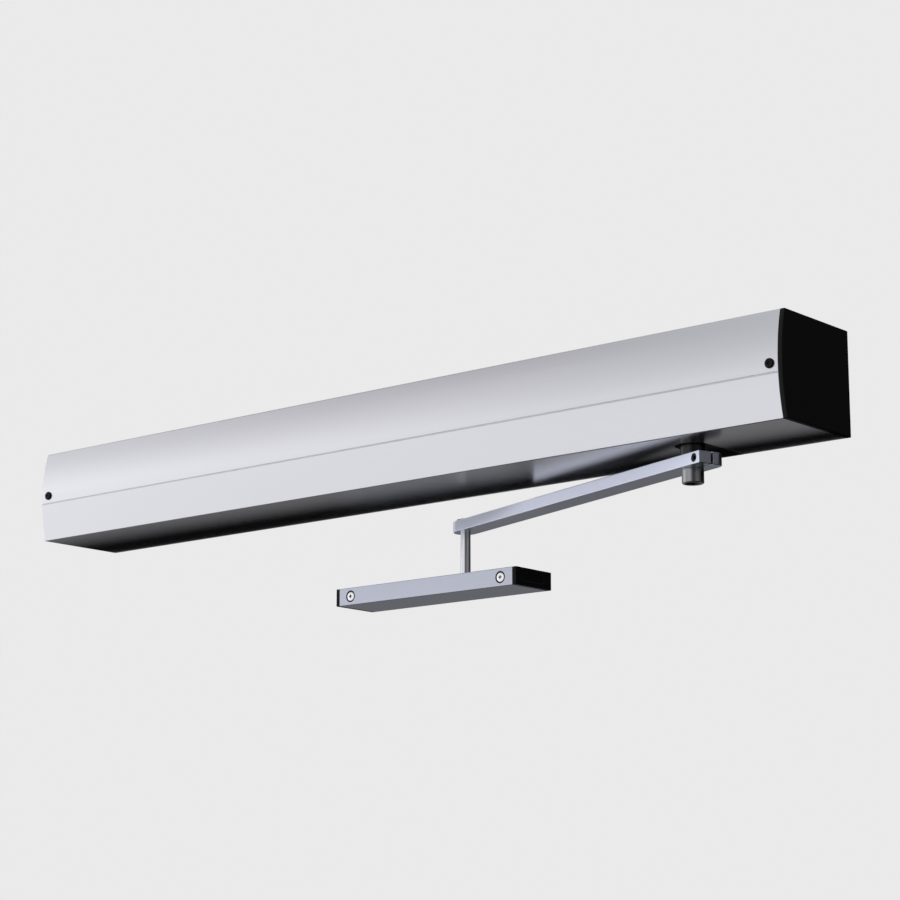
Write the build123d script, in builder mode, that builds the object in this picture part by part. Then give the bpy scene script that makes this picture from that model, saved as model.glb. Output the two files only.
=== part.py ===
# Automatic door operator: a wall-mounted drive housing with a swing arm, a slide rod and a guide rail.
# The origin is the centre of the housing's wall face. +X runs along the housing, -Y points into
# the room, and +Z is up. All lengths are millimetres.
from build123d import *
import math
import os

os.makedirs("parts", exist_ok=True)

# Housing sizes
housing_length = 840.0
housing_height = 85.0
housing_depth = 91.0
front_bulge = 5.5
cover_wall = 2.0
cover_corner_radius = 1.0
groove_drop = 7.5
groove_width = 2.0
groove_depth = 0.9
cap_plate = 4.0
cap_recess = 1.0
cap_edge_radius = 0.8
cap_foot_length = 14.0
cap_foot_height = 14.0
cap_foot_depth = 12.0
cap_foot_z = 30.0
plate_thickness = 3.0
lip_depth = 9.0
lip_thickness = 2.0
part_gap = 0.3
screw_gap = 0.1

# Wall fixing and cable inlet
wall_hole_from_end = 40.0
wall_hole_spacing_z = 50.0
wall_hole_radius = 3.25
inlet_hole_radius = 9.0
inlet_bore_radius = 5.0
grommet_lip = 2.0
grommet_flange = 2.0

# Screws of the cover, the caps, the chassis, the lid and the board
cover_screw_radius = 2.0
cover_screw_head_radius = 4.0
cover_screw_head_height = 1.8
cover_screw_length = 12.0
left_screw_inset = 9.3
right_screw_inset = 7.3
chassis_screw_radius = 2.0
chassis_screw_head_radius = 4.0
chassis_screw_length = 11.0
cap_screw_length = 14.5
cap_screw_head_height = 2.4
small_screw_radius = 1.5
small_screw_head_radius = 2.75
small_screw_head_height = 2.0
small_screw_length = 9.0
cross_recess = 1.0

# Spindle and arm
spindle_from_right = 112.0
spindle_from_wall = 53.0
spindle_radius = 9.0
spindle_lower_radius = 8.5
spindle_top_radius = 7.5
spindle_shoulder_radius = 10.5
arm_drop = 8.5
arm_thickness = 10.2
arm_length = 338.0
arm_angle = 18.7
arm_width = 22.0
arm_front_offset = 12.5
arm_hub_radius = 13.5
arm_hub_end = 25.0
arm_corner_radius = 8.0
arm_slit = 2.0
arm_edge_radius = 0.5
clamp_screw_from_axis = 18.0
clamp_screw_radius = 2.5
clamp_head_radius = 3.3
clamp_head_height = 4.0
clamp_head_recess = 0.6
collar_radius = 9.6
sleeve_radius = 8.75
sleeve_length = 11.5
spindle_end_radius = 6.0
spindle_end_length = 6.0
sleeve_socket_radius = 6.8
sleeve_socket_depth = 4.0
running_gap = 0.04
slot_half_width = 14.0
slot_cover_gap = 0.6

# Rod, slide block and guide rail
rod_radius = 4.5
rod_head_radius = 7.0
rod_head_height = 2.5
rod_clip_radius = 8.0
rod_clip_height = 1.6
rail_drop = 41.1
rail_metal_length = 204.0
rail_depth = 50.0
rail_height = 16.0
rail_wall = 2.5
rail_slot_width = 12.0
rail_offset = 28.5
rail_cap = 4.0
rail_cap_tongue = 2.0
rail_corner_radius = 0.6
rail_cap_recess = 0.8
rail_block_length = 26.0
rail_screw_from_end = 13.5
rail_screw_radius = 2.5
rail_screw_head_radius = 4.3
rail_screw_head_height = 1.6
rail_screw_seat_depth = 1.5
rail_screw_seat_radius = 5.4
rail_screw_end_gap = 0.5
slider_length = 24.0
slider_width = 40.0

# Gear train from the motor to the spindle
pressure_angle = 25.0
tooth_backlash = 0.24
final_module = 1.5
final_wheel_teeth = 38
final_pinion_teeth = 14
middle_module = 1.25
middle_wheel_teeth = 40
middle_pinion_teeth = 12
first_module = 1.0
first_wheel_teeth = 48
motor_pinion_teeth = 12
gear_floor_z = 0.0
gear_floor_thickness = 4.0
gear_axial_gap = 2.0
final_wheel_width = 8.0
middle_wheel_width = 6.0
first_wheel_width = 5.0
pinion_extra = 0.5
lid_gap = 3.0
lid_thickness = 3.0
case_wall = 3.0
case_clearance = 1.5
idler_journal_radius = 4.0
idler_body_radius = 4.6
bush_radius = 6.0
corner_boss_radius = 4.0
foot_width = 12.0
foot_height = 10.0
bearing_height = 7.0
top_bearing_radius = 14.0
bottom_bearing_radius = 15.0
bearing_boss_wall = 3.0
bearing_lip = 2.0

# Motor
motor_radius = 26.0
motor_height = 36.0
motor_wall = 2.0
motor_flange_thickness = 3.0
rotor_radius = 14.5
rotor_gap = 0.6
rotor_height = 22.0
motor_shaft_radius = 3.0
stator_yoke = 2.5
stator_teeth = 12
stator_tooth_width = 3.0
winding_gap = 0.4

# Closing spring and its rack
spring_pinion_teeth = 24
spring_pinion_bottom = -28.0
spring_pinion_width = 16.0
rack_height = 18.0
rack_back_y = -10.0
rack_left_overlap = 18.0
rack_teeth_count = 11
rack_backlash = 0.24
guide_rod_radius = 4.0
guide_rod_y = -17.0
spring_wire_radius = 1.4
spring_mean_radius = 7.4
spring_turns = 14
frame_plate = 3.0
frame_lug = 12.0
frame_left_of_spindle = 148.0
frame_right_of_spindle = 62.0
lug_front_y = -24.0

# Electronics
board_length = 180.0
board_half_height = 32.0
board_thickness = 1.6
board_stand_off = 10.0
standoff_radius = 3.0
standoff_inset = 5.0
supply_length = 150.0
supply_half_height = 33.0
supply_depth = 46.0
supply_sheet = 1.2
mains_block_width = 9.0
mains_block_pitch = 9.5
mains_block_count = 3
lead_radius = 2.2
switch_y = -46.0
switch_length = 20.0
switch_width = 12.0
switch_bezel = 1.5
rocker_gap = 0.5

# Derived places
half_length = housing_length / 2
half_height = housing_height / 2
cover_right_x = half_length - cap_plate
inner_half_height = half_height - cover_wall
lip_outer_z = inner_half_height - part_gap
lip_inner_z = lip_outer_z - lip_thickness
left_cap_outer_x = -half_length + cap_recess
left_cap_inner_x = left_cap_outer_x + cap_plate
right_tongue_x = cover_right_x - cap_plate
plate_left_x = left_cap_inner_x + part_gap
plate_right_x = right_tongue_x - part_gap
front_radius = (half_height**2 + front_bulge**2) / (2 * front_bulge)
left_screw_x = -half_length + left_screw_inset
right_screw_x = cover_right_x - right_screw_inset
spindle_x = half_length - spindle_from_right
spindle_y = -spindle_from_wall
arm_top_z = -half_height - arm_drop
arm_bottom_z = arm_top_z - arm_thickness
sleeve_bottom_z = arm_bottom_z - sleeve_length
arm_heading = math.radians(180.0 - arm_angle)
arm_plane = Plane(
    origin=(spindle_x, spindle_y, arm_bottom_z),
    x_dir=(math.cos(arm_heading), math.sin(arm_heading), 0),
    z_dir=(0, 0, 1),
)
rod_local_y = arm_front_offset - arm_width / 2
rod_place = arm_plane.from_local_coords(Vector(arm_length, rod_local_y, 0))
rod_x = rod_place.X
rod_y = rod_place.Y
rail_top_z = arm_bottom_z - rail_drop
rail_bottom_z = rail_top_z - rail_height
rail_mid_z = (rail_top_z + rail_bottom_z) / 2
rail_x = rod_x - rail_offset
rail_front_y = rod_y - rail_depth / 2
rail_back_y = rod_y + rail_depth / 2
channel_top_z = rail_top_z - rail_wall
channel_bottom_z = rail_bottom_z + rail_wall
channel_half_width = rail_depth / 2 - rail_wall
rail_screw_xs = [rail_x + s * (rail_metal_length / 2 - rail_screw_from_end) for s in (-1, 1)]

# Gear train places, worked out from the teeth
spring_pitch = spring_pinion_teeth * final_module / 2
final_distance = (final_wheel_teeth + final_pinion_teeth) * final_module / 2
middle_distance = (middle_wheel_teeth + middle_pinion_teeth) * middle_module / 2
first_distance = (first_wheel_teeth + motor_pinion_teeth) * first_module / 2
low_idler_x = spindle_x - final_distance
high_idler_x = low_idler_x - middle_distance
motor_x = high_idler_x - first_distance
floor_top_z = gear_floor_z + gear_floor_thickness
final_bottom = floor_top_z + gear_axial_gap
final_top = final_bottom + final_wheel_width
middle_bottom = final_top + gear_axial_gap
middle_top = middle_bottom + middle_wheel_width
first_bottom = middle_top + gear_axial_gap
first_top = first_bottom + first_wheel_width
lid_bottom = first_top + lid_gap
lid_top = lid_bottom + lid_thickness

# Gearbox, bracket and spring frame places
case_half_depth = (final_wheel_teeth / 2 + 1) * final_module + case_clearance
case_left_x = motor_x - motor_radius
case_right_x = spindle_x + case_half_depth
case_front_y = spindle_y - case_half_depth
case_back_y = spindle_y + case_half_depth
foot_xs = (case_left_x + foot_width, case_right_x - foot_width)
foot_zs = (gear_floor_z + foot_height, lid_bottom - foot_height / 2)
lid_screw_places = [
    (x, y)
    for x in (case_left_x + corner_boss_radius - 1, case_right_x - corner_boss_radius + 1)
    for y in (case_front_y + corner_boss_radius - 1, case_back_y - corner_boss_radius + 1)
]
bracket_bottom = -lip_inner_z + 0.2
bracket_top = bracket_bottom + bearing_height
bracket_mid_z = (bracket_top + bracket_bottom) / 2
bracket_half_width = bottom_bearing_radius + 8.0
bracket_front_y = spindle_y - bottom_bearing_radius - 5.0
spring_pinion_top = spring_pinion_bottom + spring_pinion_width
spring_axis_z = (spring_pinion_top + spring_pinion_bottom) / 2
rack_bottom = spring_axis_z - rack_height / 2
rack_top = spring_axis_z + rack_height / 2
rack_pitch_y = spindle_y + spring_pitch
rack_pitch = math.pi * final_module
rack_left_x = spindle_x - rack_left_overlap
rack_right_x = spindle_x + (rack_teeth_count - 2) * rack_pitch + 2
frame_left_x = spindle_x - frame_left_of_spindle
frame_right_x = spindle_x + frame_right_of_spindle
frame_front_y = -plate_thickness - frame_plate
frame_bottom = bracket_top
frame_top = rack_top + 2.0
lug_xs = (frame_left_x + frame_lug / 2, frame_right_x - frame_lug / 2)

# Places along the chassis: grommet, mains terminal, supply and board, evenly spaced up to the spring frame
grommet_width = 2 * (inlet_hole_radius + grommet_lip)
terminal_length = (mains_block_count - 1) * mains_block_pitch + mains_block_width
chassis_room = frame_left_x - left_cap_inner_x
chassis_filled = grommet_width + terminal_length + supply_length + board_length
chassis_gap = (chassis_room - chassis_filled) / 5
inlet_x = left_cap_inner_x + chassis_gap + grommet_width / 2
terminal_left_x = inlet_x + grommet_width / 2 + chassis_gap
terminal_right_x = terminal_left_x + terminal_length
supply_left_x = terminal_right_x + chassis_gap
supply_right_x = supply_left_x + supply_length
board_left_x = supply_right_x + chassis_gap
board_right_x = board_left_x + board_length

# Screw places on the chassis plate
wall_hole_x = half_length - wall_hole_from_end
wall_holes = [(sx * wall_hole_x, sz * wall_hole_spacing_z / 2) for sx in (-1, 1) for sz in (-1, 1)]
chassis_screw_places = [(x, z) for x in foot_xs for z in foot_zs]
chassis_screw_places += [(spindle_x + s * (bottom_bearing_radius + 3), bracket_mid_z) for s in (-1, 1)]
chassis_screw_places += [(x, spring_axis_z) for x in lug_xs]
cap_foot_front_y = -plate_thickness - cap_foot_depth
left_foot_x = left_cap_inner_x + cap_foot_length / 2
right_foot_x = right_tongue_x - cap_foot_length / 2
cap_screw_places = [(x, s * cap_foot_z) for x in (left_foot_x, right_foot_x) for s in (-1, 1)]
board_back_y = -plate_thickness - board_stand_off
board_front_y = board_back_y - board_thickness
standoff_places = [
    (x, s * (board_half_height - standoff_inset))
    for x in (board_left_x + standoff_inset, board_right_x - standoff_inset)
    for s in (-1, 1)
]
supply_front_y = -plate_thickness - supply_depth


def front_y(z):
    """The outer front face of the cover at height z."""
    return -(housing_depth + front_bulge) + front_radius - math.sqrt(front_radius**2 - z**2)


def save(builder, label):
    """Label one finished piece and write its STEP file."""
    builder.part.label = label
    export_step(builder.part, f"parts/{label}.step")


def slab(x0, x1, y0, y1, z0, z1, mode=Mode.ADD):
    """A block between two corners, in the open part builder."""
    with Locations(((x0 + x1) / 2, (y0 + y1) / 2, (z0 + z1) / 2)):
        Box(abs(x1 - x0), abs(y1 - y0), abs(z1 - z0), mode=mode)


def round_z(x, y, z0, z1, radius, mode=Mode.ADD):
    """An upright cylinder from z0 to z1, in the open part builder."""
    with Locations((x, y, (z0 + z1) / 2)):
        Cylinder(radius, abs(z1 - z0), mode=mode)


def round_y(x, z, y0, y1, radius, mode=Mode.ADD):
    """A cylinder along Y from y0 to y1, in the open part builder."""
    with Locations((x, (y0 + y1) / 2, z)):
        Cylinder(radius, abs(y1 - y0), rotation=(90, 0, 0), mode=mode)


def round_x(y, z, x0, x1, radius, mode=Mode.ADD):
    """A cylinder along X from x0 to x1, in the open part builder."""
    with Locations(((x0 + x1) / 2, y, z)):
        Cylinder(radius, abs(x1 - x0), rotation=(0, 90, 0), mode=mode)


def cross_y(x, z, y0, y1, size):
    """A cross-shaped driver recess sunk along Y between y0 and y1."""
    slab(x - size, x + size, y0, y1, z - size / 3, z + size / 3, Mode.SUBTRACT)
    slab(x - size / 3, x + size / 3, y0, y1, z - size, z + size, Mode.SUBTRACT)


def involute(angle):
    """The involute function of a pressure angle in radians."""
    return math.tan(angle) - angle


def gear_face(teeth, module, phase, bore=0.0):
    """The face of a spur gear about the origin, one tooth centred on the phase angle in degrees."""
    pitch = teeth * module / 2
    base = pitch * math.cos(math.radians(pressure_angle))
    tip = pitch + module
    root = pitch - 1.25 * module
    half_at_pitch = math.pi / (2 * teeth) - tooth_backlash / (4 * pitch)

    def half_angle(radius):
        inner = math.acos(min(1.0, base / radius))
        return half_at_pitch + involute(math.radians(pressure_angle)) - involute(inner)

    start = max(base, root)
    radii = [start + (tip - start) * step / 4 for step in range(5)]
    flank = [(r * math.cos(half_angle(r)), r * math.sin(half_angle(r))) for r in radii]
    foot_radius = root - 0.3 * module
    foot = (foot_radius * math.cos(half_angle(start)), foot_radius * math.sin(half_angle(start)))
    upper = [foot] + flank
    lower = [(x, -y) for x, y in reversed(upper)]
    with BuildSketch() as tooth:
        with BuildLine():
            Polyline(*upper, *lower, close=True)
        make_face()
    with BuildSketch() as gear:
        Circle(root)
        with PolarLocations(0, teeth, start_angle=phase):
            add(tooth.sketch)
        if bore > 0:
            Circle(bore, mode=Mode.SUBTRACT)
    return gear.sketch


def housing_section(inset):
    """The closed section of the housing, shrunk by an inset on its top, bottom and front."""
    top = half_height - inset
    front = -housing_depth + inset
    with BuildSketch() as section:
        with BuildLine():
            Polyline((front, top), (0, top), (0, -top), (front, -top))
            ThreePointArc((front, -top), (front - front_bulge, 0), (front, top))
        make_face()
        fillet(section.vertices().group_by(Axis.X)[0], cover_corner_radius)
    return section.sketch


# Chassis: a folded aluminium plate against the wall, with stiffening lips along top and bottom
with BuildPart() as base_plate:
    slab(plate_left_x, plate_right_x, -plate_thickness, 0, -lip_outer_z, lip_outer_z)
    for side in (-1, 1):
        slab(
            plate_left_x + cap_foot_length + 1,
            plate_right_x - cap_foot_length - 1,
            -plate_thickness - lip_depth,
            -plate_thickness,
            side * lip_inner_z,
            side * lip_outer_z,
        )
    for x, z in wall_holes:
        round_y(x, z, -plate_thickness, 0, wall_hole_radius, Mode.SUBTRACT)
    round_y(inlet_x, 0, -plate_thickness, 0, inlet_hole_radius, Mode.SUBTRACT)
    for x, z in chassis_screw_places:
        with BuildSketch(Plane((x, 0, z), x_dir=(1, 0, 0), z_dir=(0, -1, 0))):
            Circle(chassis_screw_head_radius + screw_gap)
        extrude(amount=chassis_screw_head_radius - chassis_screw_radius, taper=45, mode=Mode.SUBTRACT)
        round_y(x, z, -plate_thickness, 0, chassis_screw_radius + screw_gap, Mode.SUBTRACT)
    for x, z in cap_screw_places:
        round_y(x, z, -plate_thickness, 0, chassis_screw_radius + screw_gap, Mode.SUBTRACT)
save(base_plate, "base_plate")

# Front cover: one extruded shell, open at the back, with a groove and the slot the spindle passes
with BuildPart() as front_cover:
    with BuildSketch(Plane.YZ.offset(-half_length)):
        add(housing_section(0))
        add(housing_section(cover_wall), mode=Mode.SUBTRACT)
        groove_y = front_y(-groove_drop)
        with BuildLine():
            Polyline(
                (groove_y - 0.5, -groove_drop - groove_width / 2),
                (groove_y - 0.5, -groove_drop + groove_width / 2),
                (groove_y + groove_depth, -groove_drop),
                close=True,
            )
        make_face(mode=Mode.SUBTRACT)
    extrude(amount=cover_right_x + half_length)
    slab(
        spindle_x - slot_half_width,
        spindle_x + slot_half_width,
        spindle_y,
        1,
        -half_height - 1,
        -inner_half_height + 0.5,
        Mode.SUBTRACT,
    )
    round_z(
        spindle_x, spindle_y, -half_height - 1, -inner_half_height + 0.5, slot_half_width, Mode.SUBTRACT
    )
    for x in (left_screw_x, right_screw_x):
        round_y(x, 0, front_y(0) - 1, front_y(0) + 6, cover_screw_radius + screw_gap, Mode.SUBTRACT)
save(front_cover, "front_cover")

# Left end cap: a plate set inside the cover, with feet on the chassis and a boss behind the cover
boss_front_y = front_y(0) + cover_wall + part_gap
with BuildPart() as left_end_cap:
    with BuildSketch(Plane.YZ.offset(left_cap_outer_x)):
        add(housing_section(cover_wall + part_gap))
    extrude(amount=cap_plate)
    for side in (-1, 1):
        slab(
            left_cap_inner_x - 1,
            left_cap_inner_x + cap_foot_length,
            cap_foot_front_y,
            -plate_thickness,
            side * cap_foot_z - cap_foot_height / 2,
            side * cap_foot_z + cap_foot_height / 2,
        )
    slab(left_cap_inner_x - 1, left_screw_x + 5, boss_front_y + 0.4, boss_front_y + 14, -6, 6)
    round_y(left_screw_x, 0, boss_front_y, boss_front_y + 14, cover_screw_radius + screw_gap, Mode.SUBTRACT)
    for side in (-1, 1):
        round_y(
            left_foot_x,
            side * cap_foot_z,
            cap_foot_front_y,
            -plate_thickness,
            chassis_screw_radius + screw_gap,
            Mode.SUBTRACT,
        )
    slab(
        left_cap_outer_x,
        left_cap_inner_x,
        switch_y - switch_length / 2,
        switch_y + switch_length / 2,
        -switch_width / 2,
        switch_width / 2,
        Mode.SUBTRACT,
    )
save(left_end_cap, "left_end_cap")

# Right end cap: an outer plate that follows the cover, with a tongue, feet and a screw boss inside
with BuildPart() as right_end_cap:
    with BuildSketch(Plane.YZ.offset(cover_right_x)):
        add(housing_section(0))
    extrude(amount=cap_plate)
    fillet(right_end_cap.faces().sort_by(Axis.X)[-1].edges(), cap_edge_radius)
    with BuildSketch(Plane.YZ.offset(right_tongue_x)):
        add(housing_section(cover_wall + part_gap))
        add(housing_section(cover_wall + part_gap + 3), mode=Mode.SUBTRACT)
    extrude(amount=cap_plate)
    for side in (-1, 1):
        slab(
            right_tongue_x - cap_foot_length,
            cover_right_x + 0.5,
            cap_foot_front_y,
            -plate_thickness,
            side * cap_foot_z - cap_foot_height / 2,
            side * cap_foot_z + cap_foot_height / 2,
        )
    slab(right_screw_x - 5, cover_right_x + 0.5, boss_front_y + 0.4, boss_front_y + 14, -6, 6)
    round_y(right_screw_x, 0, boss_front_y, boss_front_y + 14, cover_screw_radius + screw_gap, Mode.SUBTRACT)
    for side in (-1, 1):
        round_y(
            right_foot_x,
            side * cap_foot_z,
            cap_foot_front_y,
            -plate_thickness,
            chassis_screw_radius + screw_gap,
            Mode.SUBTRACT,
        )
save(right_end_cap, "right_end_cap")

# Screws that hold the cover to the end caps
with BuildPart() as cover_screws:
    for x in (left_screw_x, right_screw_x):
        round_y(x, 0, front_y(0), front_y(0) + cover_screw_length, cover_screw_radius)
        round_y(x, 0, front_y(0) - cover_screw_head_height, front_y(0), cover_screw_head_radius)
    rims = cover_screws.edges().filter_by(GeomType.CIRCLE).group_by(Axis.Y)[0]
    fillet(rims, cover_screw_head_height * 0.5)
    for x in (left_screw_x, right_screw_x):
        cross_y(x, 0, front_y(0) - cover_screw_head_height, front_y(0) - 0.4, 1.8)
save(cover_screws, "cover_screws")

# Screws that hold the end caps to the chassis
with BuildPart() as cap_screws:
    for x, z in cap_screw_places:
        round_y(x, z, cap_foot_front_y, cap_foot_front_y + cap_screw_length, chassis_screw_radius)
        round_y(
            x, z, cap_foot_front_y - cap_screw_head_height, cap_foot_front_y, chassis_screw_head_radius
        )
        cross_y(x, z, cap_foot_front_y - cap_screw_head_height, cap_foot_front_y - 1, 2.0)
save(cap_screws, "cap_screws")

# Countersunk screws from the wall side into the gearbox, the bearing bracket and the spring frame
with BuildPart() as chassis_screws:
    for x, z in chassis_screw_places:
        with BuildSketch(Plane((x, 0, z), x_dir=(1, 0, 0), z_dir=(0, -1, 0))):
            Circle(chassis_screw_head_radius)
        extrude(amount=chassis_screw_head_radius - chassis_screw_radius, taper=45)
        round_y(x, z, -chassis_screw_length, -0.5, chassis_screw_radius)
        cross_y(x, z, -1.2, 0, 1.8)
save(chassis_screws, "chassis_screws")

# Slot cover: the plastic filler that closes the cover's slot around the spindle collar
with BuildPart() as slot_cover:
    with BuildSketch(Plane.XY.offset(-half_height)):
        with Locations((spindle_x, spindle_y)):
            Circle(slot_half_width - part_gap)
        with Locations((spindle_x, spindle_y / 2)):
            Rectangle(2 * (slot_half_width - part_gap), -spindle_y)
        with Locations((spindle_x, spindle_y)):
            Circle(collar_radius + slot_cover_gap, mode=Mode.SUBTRACT)
    extrude(amount=cover_wall)
    for side in (-1, 1):
        slab(
            spindle_x + side * (slot_half_width - part_gap),
            spindle_x + side * (slot_half_width - part_gap - 3),
            spindle_y,
            -plate_thickness - lip_depth - 1,
            -inner_half_height - 0.1,
            bracket_bottom,
        )
save(slot_cover, "slot_cover")

# Gearbox case: a cast tray with corner bosses for the lid and feet on the chassis
with BuildPart() as gearbox_case:
    slab(
        case_left_x - case_wall,
        case_right_x + case_wall,
        case_front_y - case_wall,
        case_back_y + case_wall,
        gear_floor_z,
        lid_bottom,
    )
    fillet(gearbox_case.edges().filter_by(Axis.Z), 3)
    slab(case_left_x, case_right_x, case_front_y, case_back_y, floor_top_z, lid_bottom, Mode.SUBTRACT)
    for x, y in lid_screw_places:
        round_z(x, y, floor_top_z, lid_bottom, corner_boss_radius)
        round_z(x, y, lid_bottom - 10, lid_bottom, small_screw_radius + screw_gap, Mode.SUBTRACT)
    for x in foot_xs:
        for z in foot_zs:
            slab(
                x - foot_width / 2,
                x + foot_width / 2,
                case_back_y + case_wall - 0.5,
                -plate_thickness,
                z - foot_height / 2,
                z + foot_height / 2,
            )
            round_y(
                x, z, -chassis_screw_length - 1, -plate_thickness, chassis_screw_radius + screw_gap, Mode.SUBTRACT
            )
    round_z(spindle_x, spindle_y, gear_floor_z, floor_top_z, spindle_radius + 2, Mode.SUBTRACT)
    round_z(motor_x, spindle_y, gear_floor_z, floor_top_z, motor_shaft_radius + 2, Mode.SUBTRACT)
    for x in (low_idler_x, high_idler_x):
        round_z(x, spindle_y, gear_floor_z, floor_top_z, bush_radius, Mode.SUBTRACT)
save(gearbox_case, "gearbox_case")

# Gearbox lid: a flat plate with the boss that holds the spindle's top bearing
top_bearing_bottom = lid_top - bearing_height
with BuildPart() as gearbox_lid:
    slab(
        case_left_x - case_wall,
        case_right_x + case_wall,
        case_front_y - case_wall,
        case_back_y + case_wall,
        lid_bottom,
        lid_top,
    )
    fillet(gearbox_lid.edges().filter_by(Axis.Z), 3)
    round_z(
        spindle_x,
        spindle_y,
        top_bearing_bottom - bearing_lip,
        lid_top,
        top_bearing_radius + bearing_boss_wall,
    )
    round_z(spindle_x, spindle_y, top_bearing_bottom, lid_top, top_bearing_radius, Mode.SUBTRACT)
    round_z(
        spindle_x,
        spindle_y,
        top_bearing_bottom - bearing_lip,
        top_bearing_bottom,
        top_bearing_radius - 3,
        Mode.SUBTRACT,
    )
    for x in (low_idler_x, high_idler_x):
        round_z(x, spindle_y, lid_bottom, lid_top, bush_radius, Mode.SUBTRACT)
    for x, y in lid_screw_places:
        round_z(x, y, lid_bottom, lid_top, small_screw_radius + screw_gap, Mode.SUBTRACT)
save(gearbox_lid, "gearbox_lid")

def ring(x, y, z0, z1, outer, bore):
    """A plain upright ring, in the open part builder."""
    round_z(x, y, z0, z1, outer)
    round_z(x, y, z0, z1, bore, Mode.SUBTRACT)


# Bushes that carry the two idler shafts in the case floor and the lid
with BuildPart() as shaft_bushes:
    for x in (low_idler_x, high_idler_x):
        ring(x, spindle_y, gear_floor_z, floor_top_z, bush_radius, idler_journal_radius + running_gap)
        ring(x, spindle_y, lid_bottom, lid_top, bush_radius, idler_journal_radius + running_gap)
save(shaft_bushes, "shaft_bushes")

# Spindle bearings, one in the lid and one in the bracket under the gearbox
with BuildPart() as spindle_top_bearing:
    ring(
        spindle_x,
        spindle_y,
        top_bearing_bottom,
        lid_top,
        top_bearing_radius,
        spindle_top_radius + running_gap,
    )
    with BuildSketch(Plane((spindle_x, spindle_y, lid_top))):
        Circle(top_bearing_radius - 1.5)
        Circle(top_bearing_radius - 4.5, mode=Mode.SUBTRACT)
    extrude(amount=-0.6, mode=Mode.SUBTRACT)
save(spindle_top_bearing, "spindle_top_bearing")

with BuildPart() as spindle_bottom_bearing:
    ring(
        spindle_x,
        spindle_y,
        bracket_bottom,
        bracket_top,
        bottom_bearing_radius,
        spindle_lower_radius + running_gap,
    )
    with BuildSketch(Plane((spindle_x, spindle_y, bracket_top))):
        Circle(bottom_bearing_radius - 1.5)
        Circle(bottom_bearing_radius - 4.5, mode=Mode.SUBTRACT)
    extrude(amount=-0.6, mode=Mode.SUBTRACT)
save(spindle_bottom_bearing, "spindle_bottom_bearing")

# Bearing bracket: a cast arm from the chassis plate that holds the spindle's lower bearing
with BuildPart() as bearing_bracket:
    with BuildSketch(Plane.XY.offset(bracket_bottom)):
        with Locations((spindle_x, (bracket_front_y - plate_thickness) / 2)):
            Rectangle(2 * bracket_half_width, -plate_thickness - bracket_front_y)
    extrude(amount=bearing_height)
    fillet(bearing_bracket.edges().filter_by(Axis.Z).group_by(Axis.Y)[0], 8)
    round_z(spindle_x, spindle_y, bracket_bottom, bracket_top, bottom_bearing_radius, Mode.SUBTRACT)
    for side in (-1, 1):
        round_y(
            spindle_x + side * (bottom_bearing_radius + 3),
            bracket_mid_z,
            -chassis_screw_length - 1,
            -plate_thickness,
            chassis_screw_radius + screw_gap,
            Mode.SUBTRACT,
        )
save(bearing_bracket, "bearing_bracket")

# Motor: a round case, a flange on the gearbox floor, a slotted stator and its windings
motor_bottom_z = gear_floor_z - motor_height
motor_top_z = gear_floor_z - motor_flange_thickness
motor_floor_z = motor_bottom_z + 4
rotor_bottom_z = (motor_floor_z + motor_top_z - rotor_height) / 2
rotor_top_z = rotor_bottom_z + rotor_height
stator_radius = motor_radius - motor_wall
with BuildPart() as motor_case:
    round_z(motor_x, spindle_y, motor_bottom_z, motor_top_z, motor_radius)
    fillet(motor_case.edges().group_by(Axis.Z)[0], 2)
    round_z(motor_x, spindle_y, motor_floor_z, motor_top_z, stator_radius, Mode.SUBTRACT)
    round_z(
        motor_x, spindle_y, motor_bottom_z, motor_floor_z, motor_shaft_radius + running_gap, Mode.SUBTRACT
    )
save(motor_case, "motor_case")

with BuildPart() as motor_flange:
    round_z(motor_x, spindle_y, motor_top_z, gear_floor_z, motor_radius)
    round_z(
        motor_x, spindle_y, motor_top_z, gear_floor_z, motor_shaft_radius + running_gap, Mode.SUBTRACT
    )
save(motor_flange, "motor_flange")

with BuildPart() as motor_stator:
    with BuildSketch(Plane((motor_x, spindle_y, rotor_bottom_z))):
        Circle(stator_radius)
        Circle(stator_radius - stator_yoke, mode=Mode.SUBTRACT)
        tooth_inner = rotor_radius + rotor_gap
        tooth_outer = stator_radius - stator_yoke / 2
        with PolarLocations((tooth_inner + tooth_outer) / 2, stator_teeth):
            Rectangle(tooth_outer - tooth_inner, stator_tooth_width)
    extrude(amount=rotor_height)
save(motor_stator, "motor_stator")

with BuildPart() as motor_windings:
    with BuildSketch(Plane((motor_x, spindle_y, rotor_bottom_z - 1))):
        Circle(stator_radius - stator_yoke - winding_gap)
        Circle(rotor_radius + rotor_gap + 1, mode=Mode.SUBTRACT)
        with PolarLocations(stator_radius / 2, stator_teeth):
            Rectangle(stator_radius, stator_tooth_width + 2 * winding_gap, mode=Mode.SUBTRACT)
    extrude(amount=rotor_height + 2)
save(motor_windings, "motor_windings")

# Spring frame: a plate on the chassis with two lugs and a ledge that carries the rack
with BuildPart() as spring_frame:
    slab(frame_left_x, frame_right_x, frame_front_y, -plate_thickness, frame_bottom, frame_top)
    slab(
        rack_left_x - 40,
        frame_right_x - 1,
        lug_front_y,
        frame_front_y + 0.5,
        frame_bottom,
        rack_bottom - part_gap,
    )
    for x in lug_xs:
        slab(x - frame_lug / 2, x + frame_lug / 2, lug_front_y, frame_front_y + 0.5, frame_bottom, frame_top)
        round_y(
            x,
            spring_axis_z,
            -chassis_screw_length - 1,
            -plate_thickness,
            chassis_screw_radius + screw_gap,
            Mode.SUBTRACT,
        )
    round_x(guide_rod_y, spring_axis_z, frame_left_x, frame_right_x, guide_rod_radius, Mode.SUBTRACT)
save(spring_frame, "spring_frame")

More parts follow.
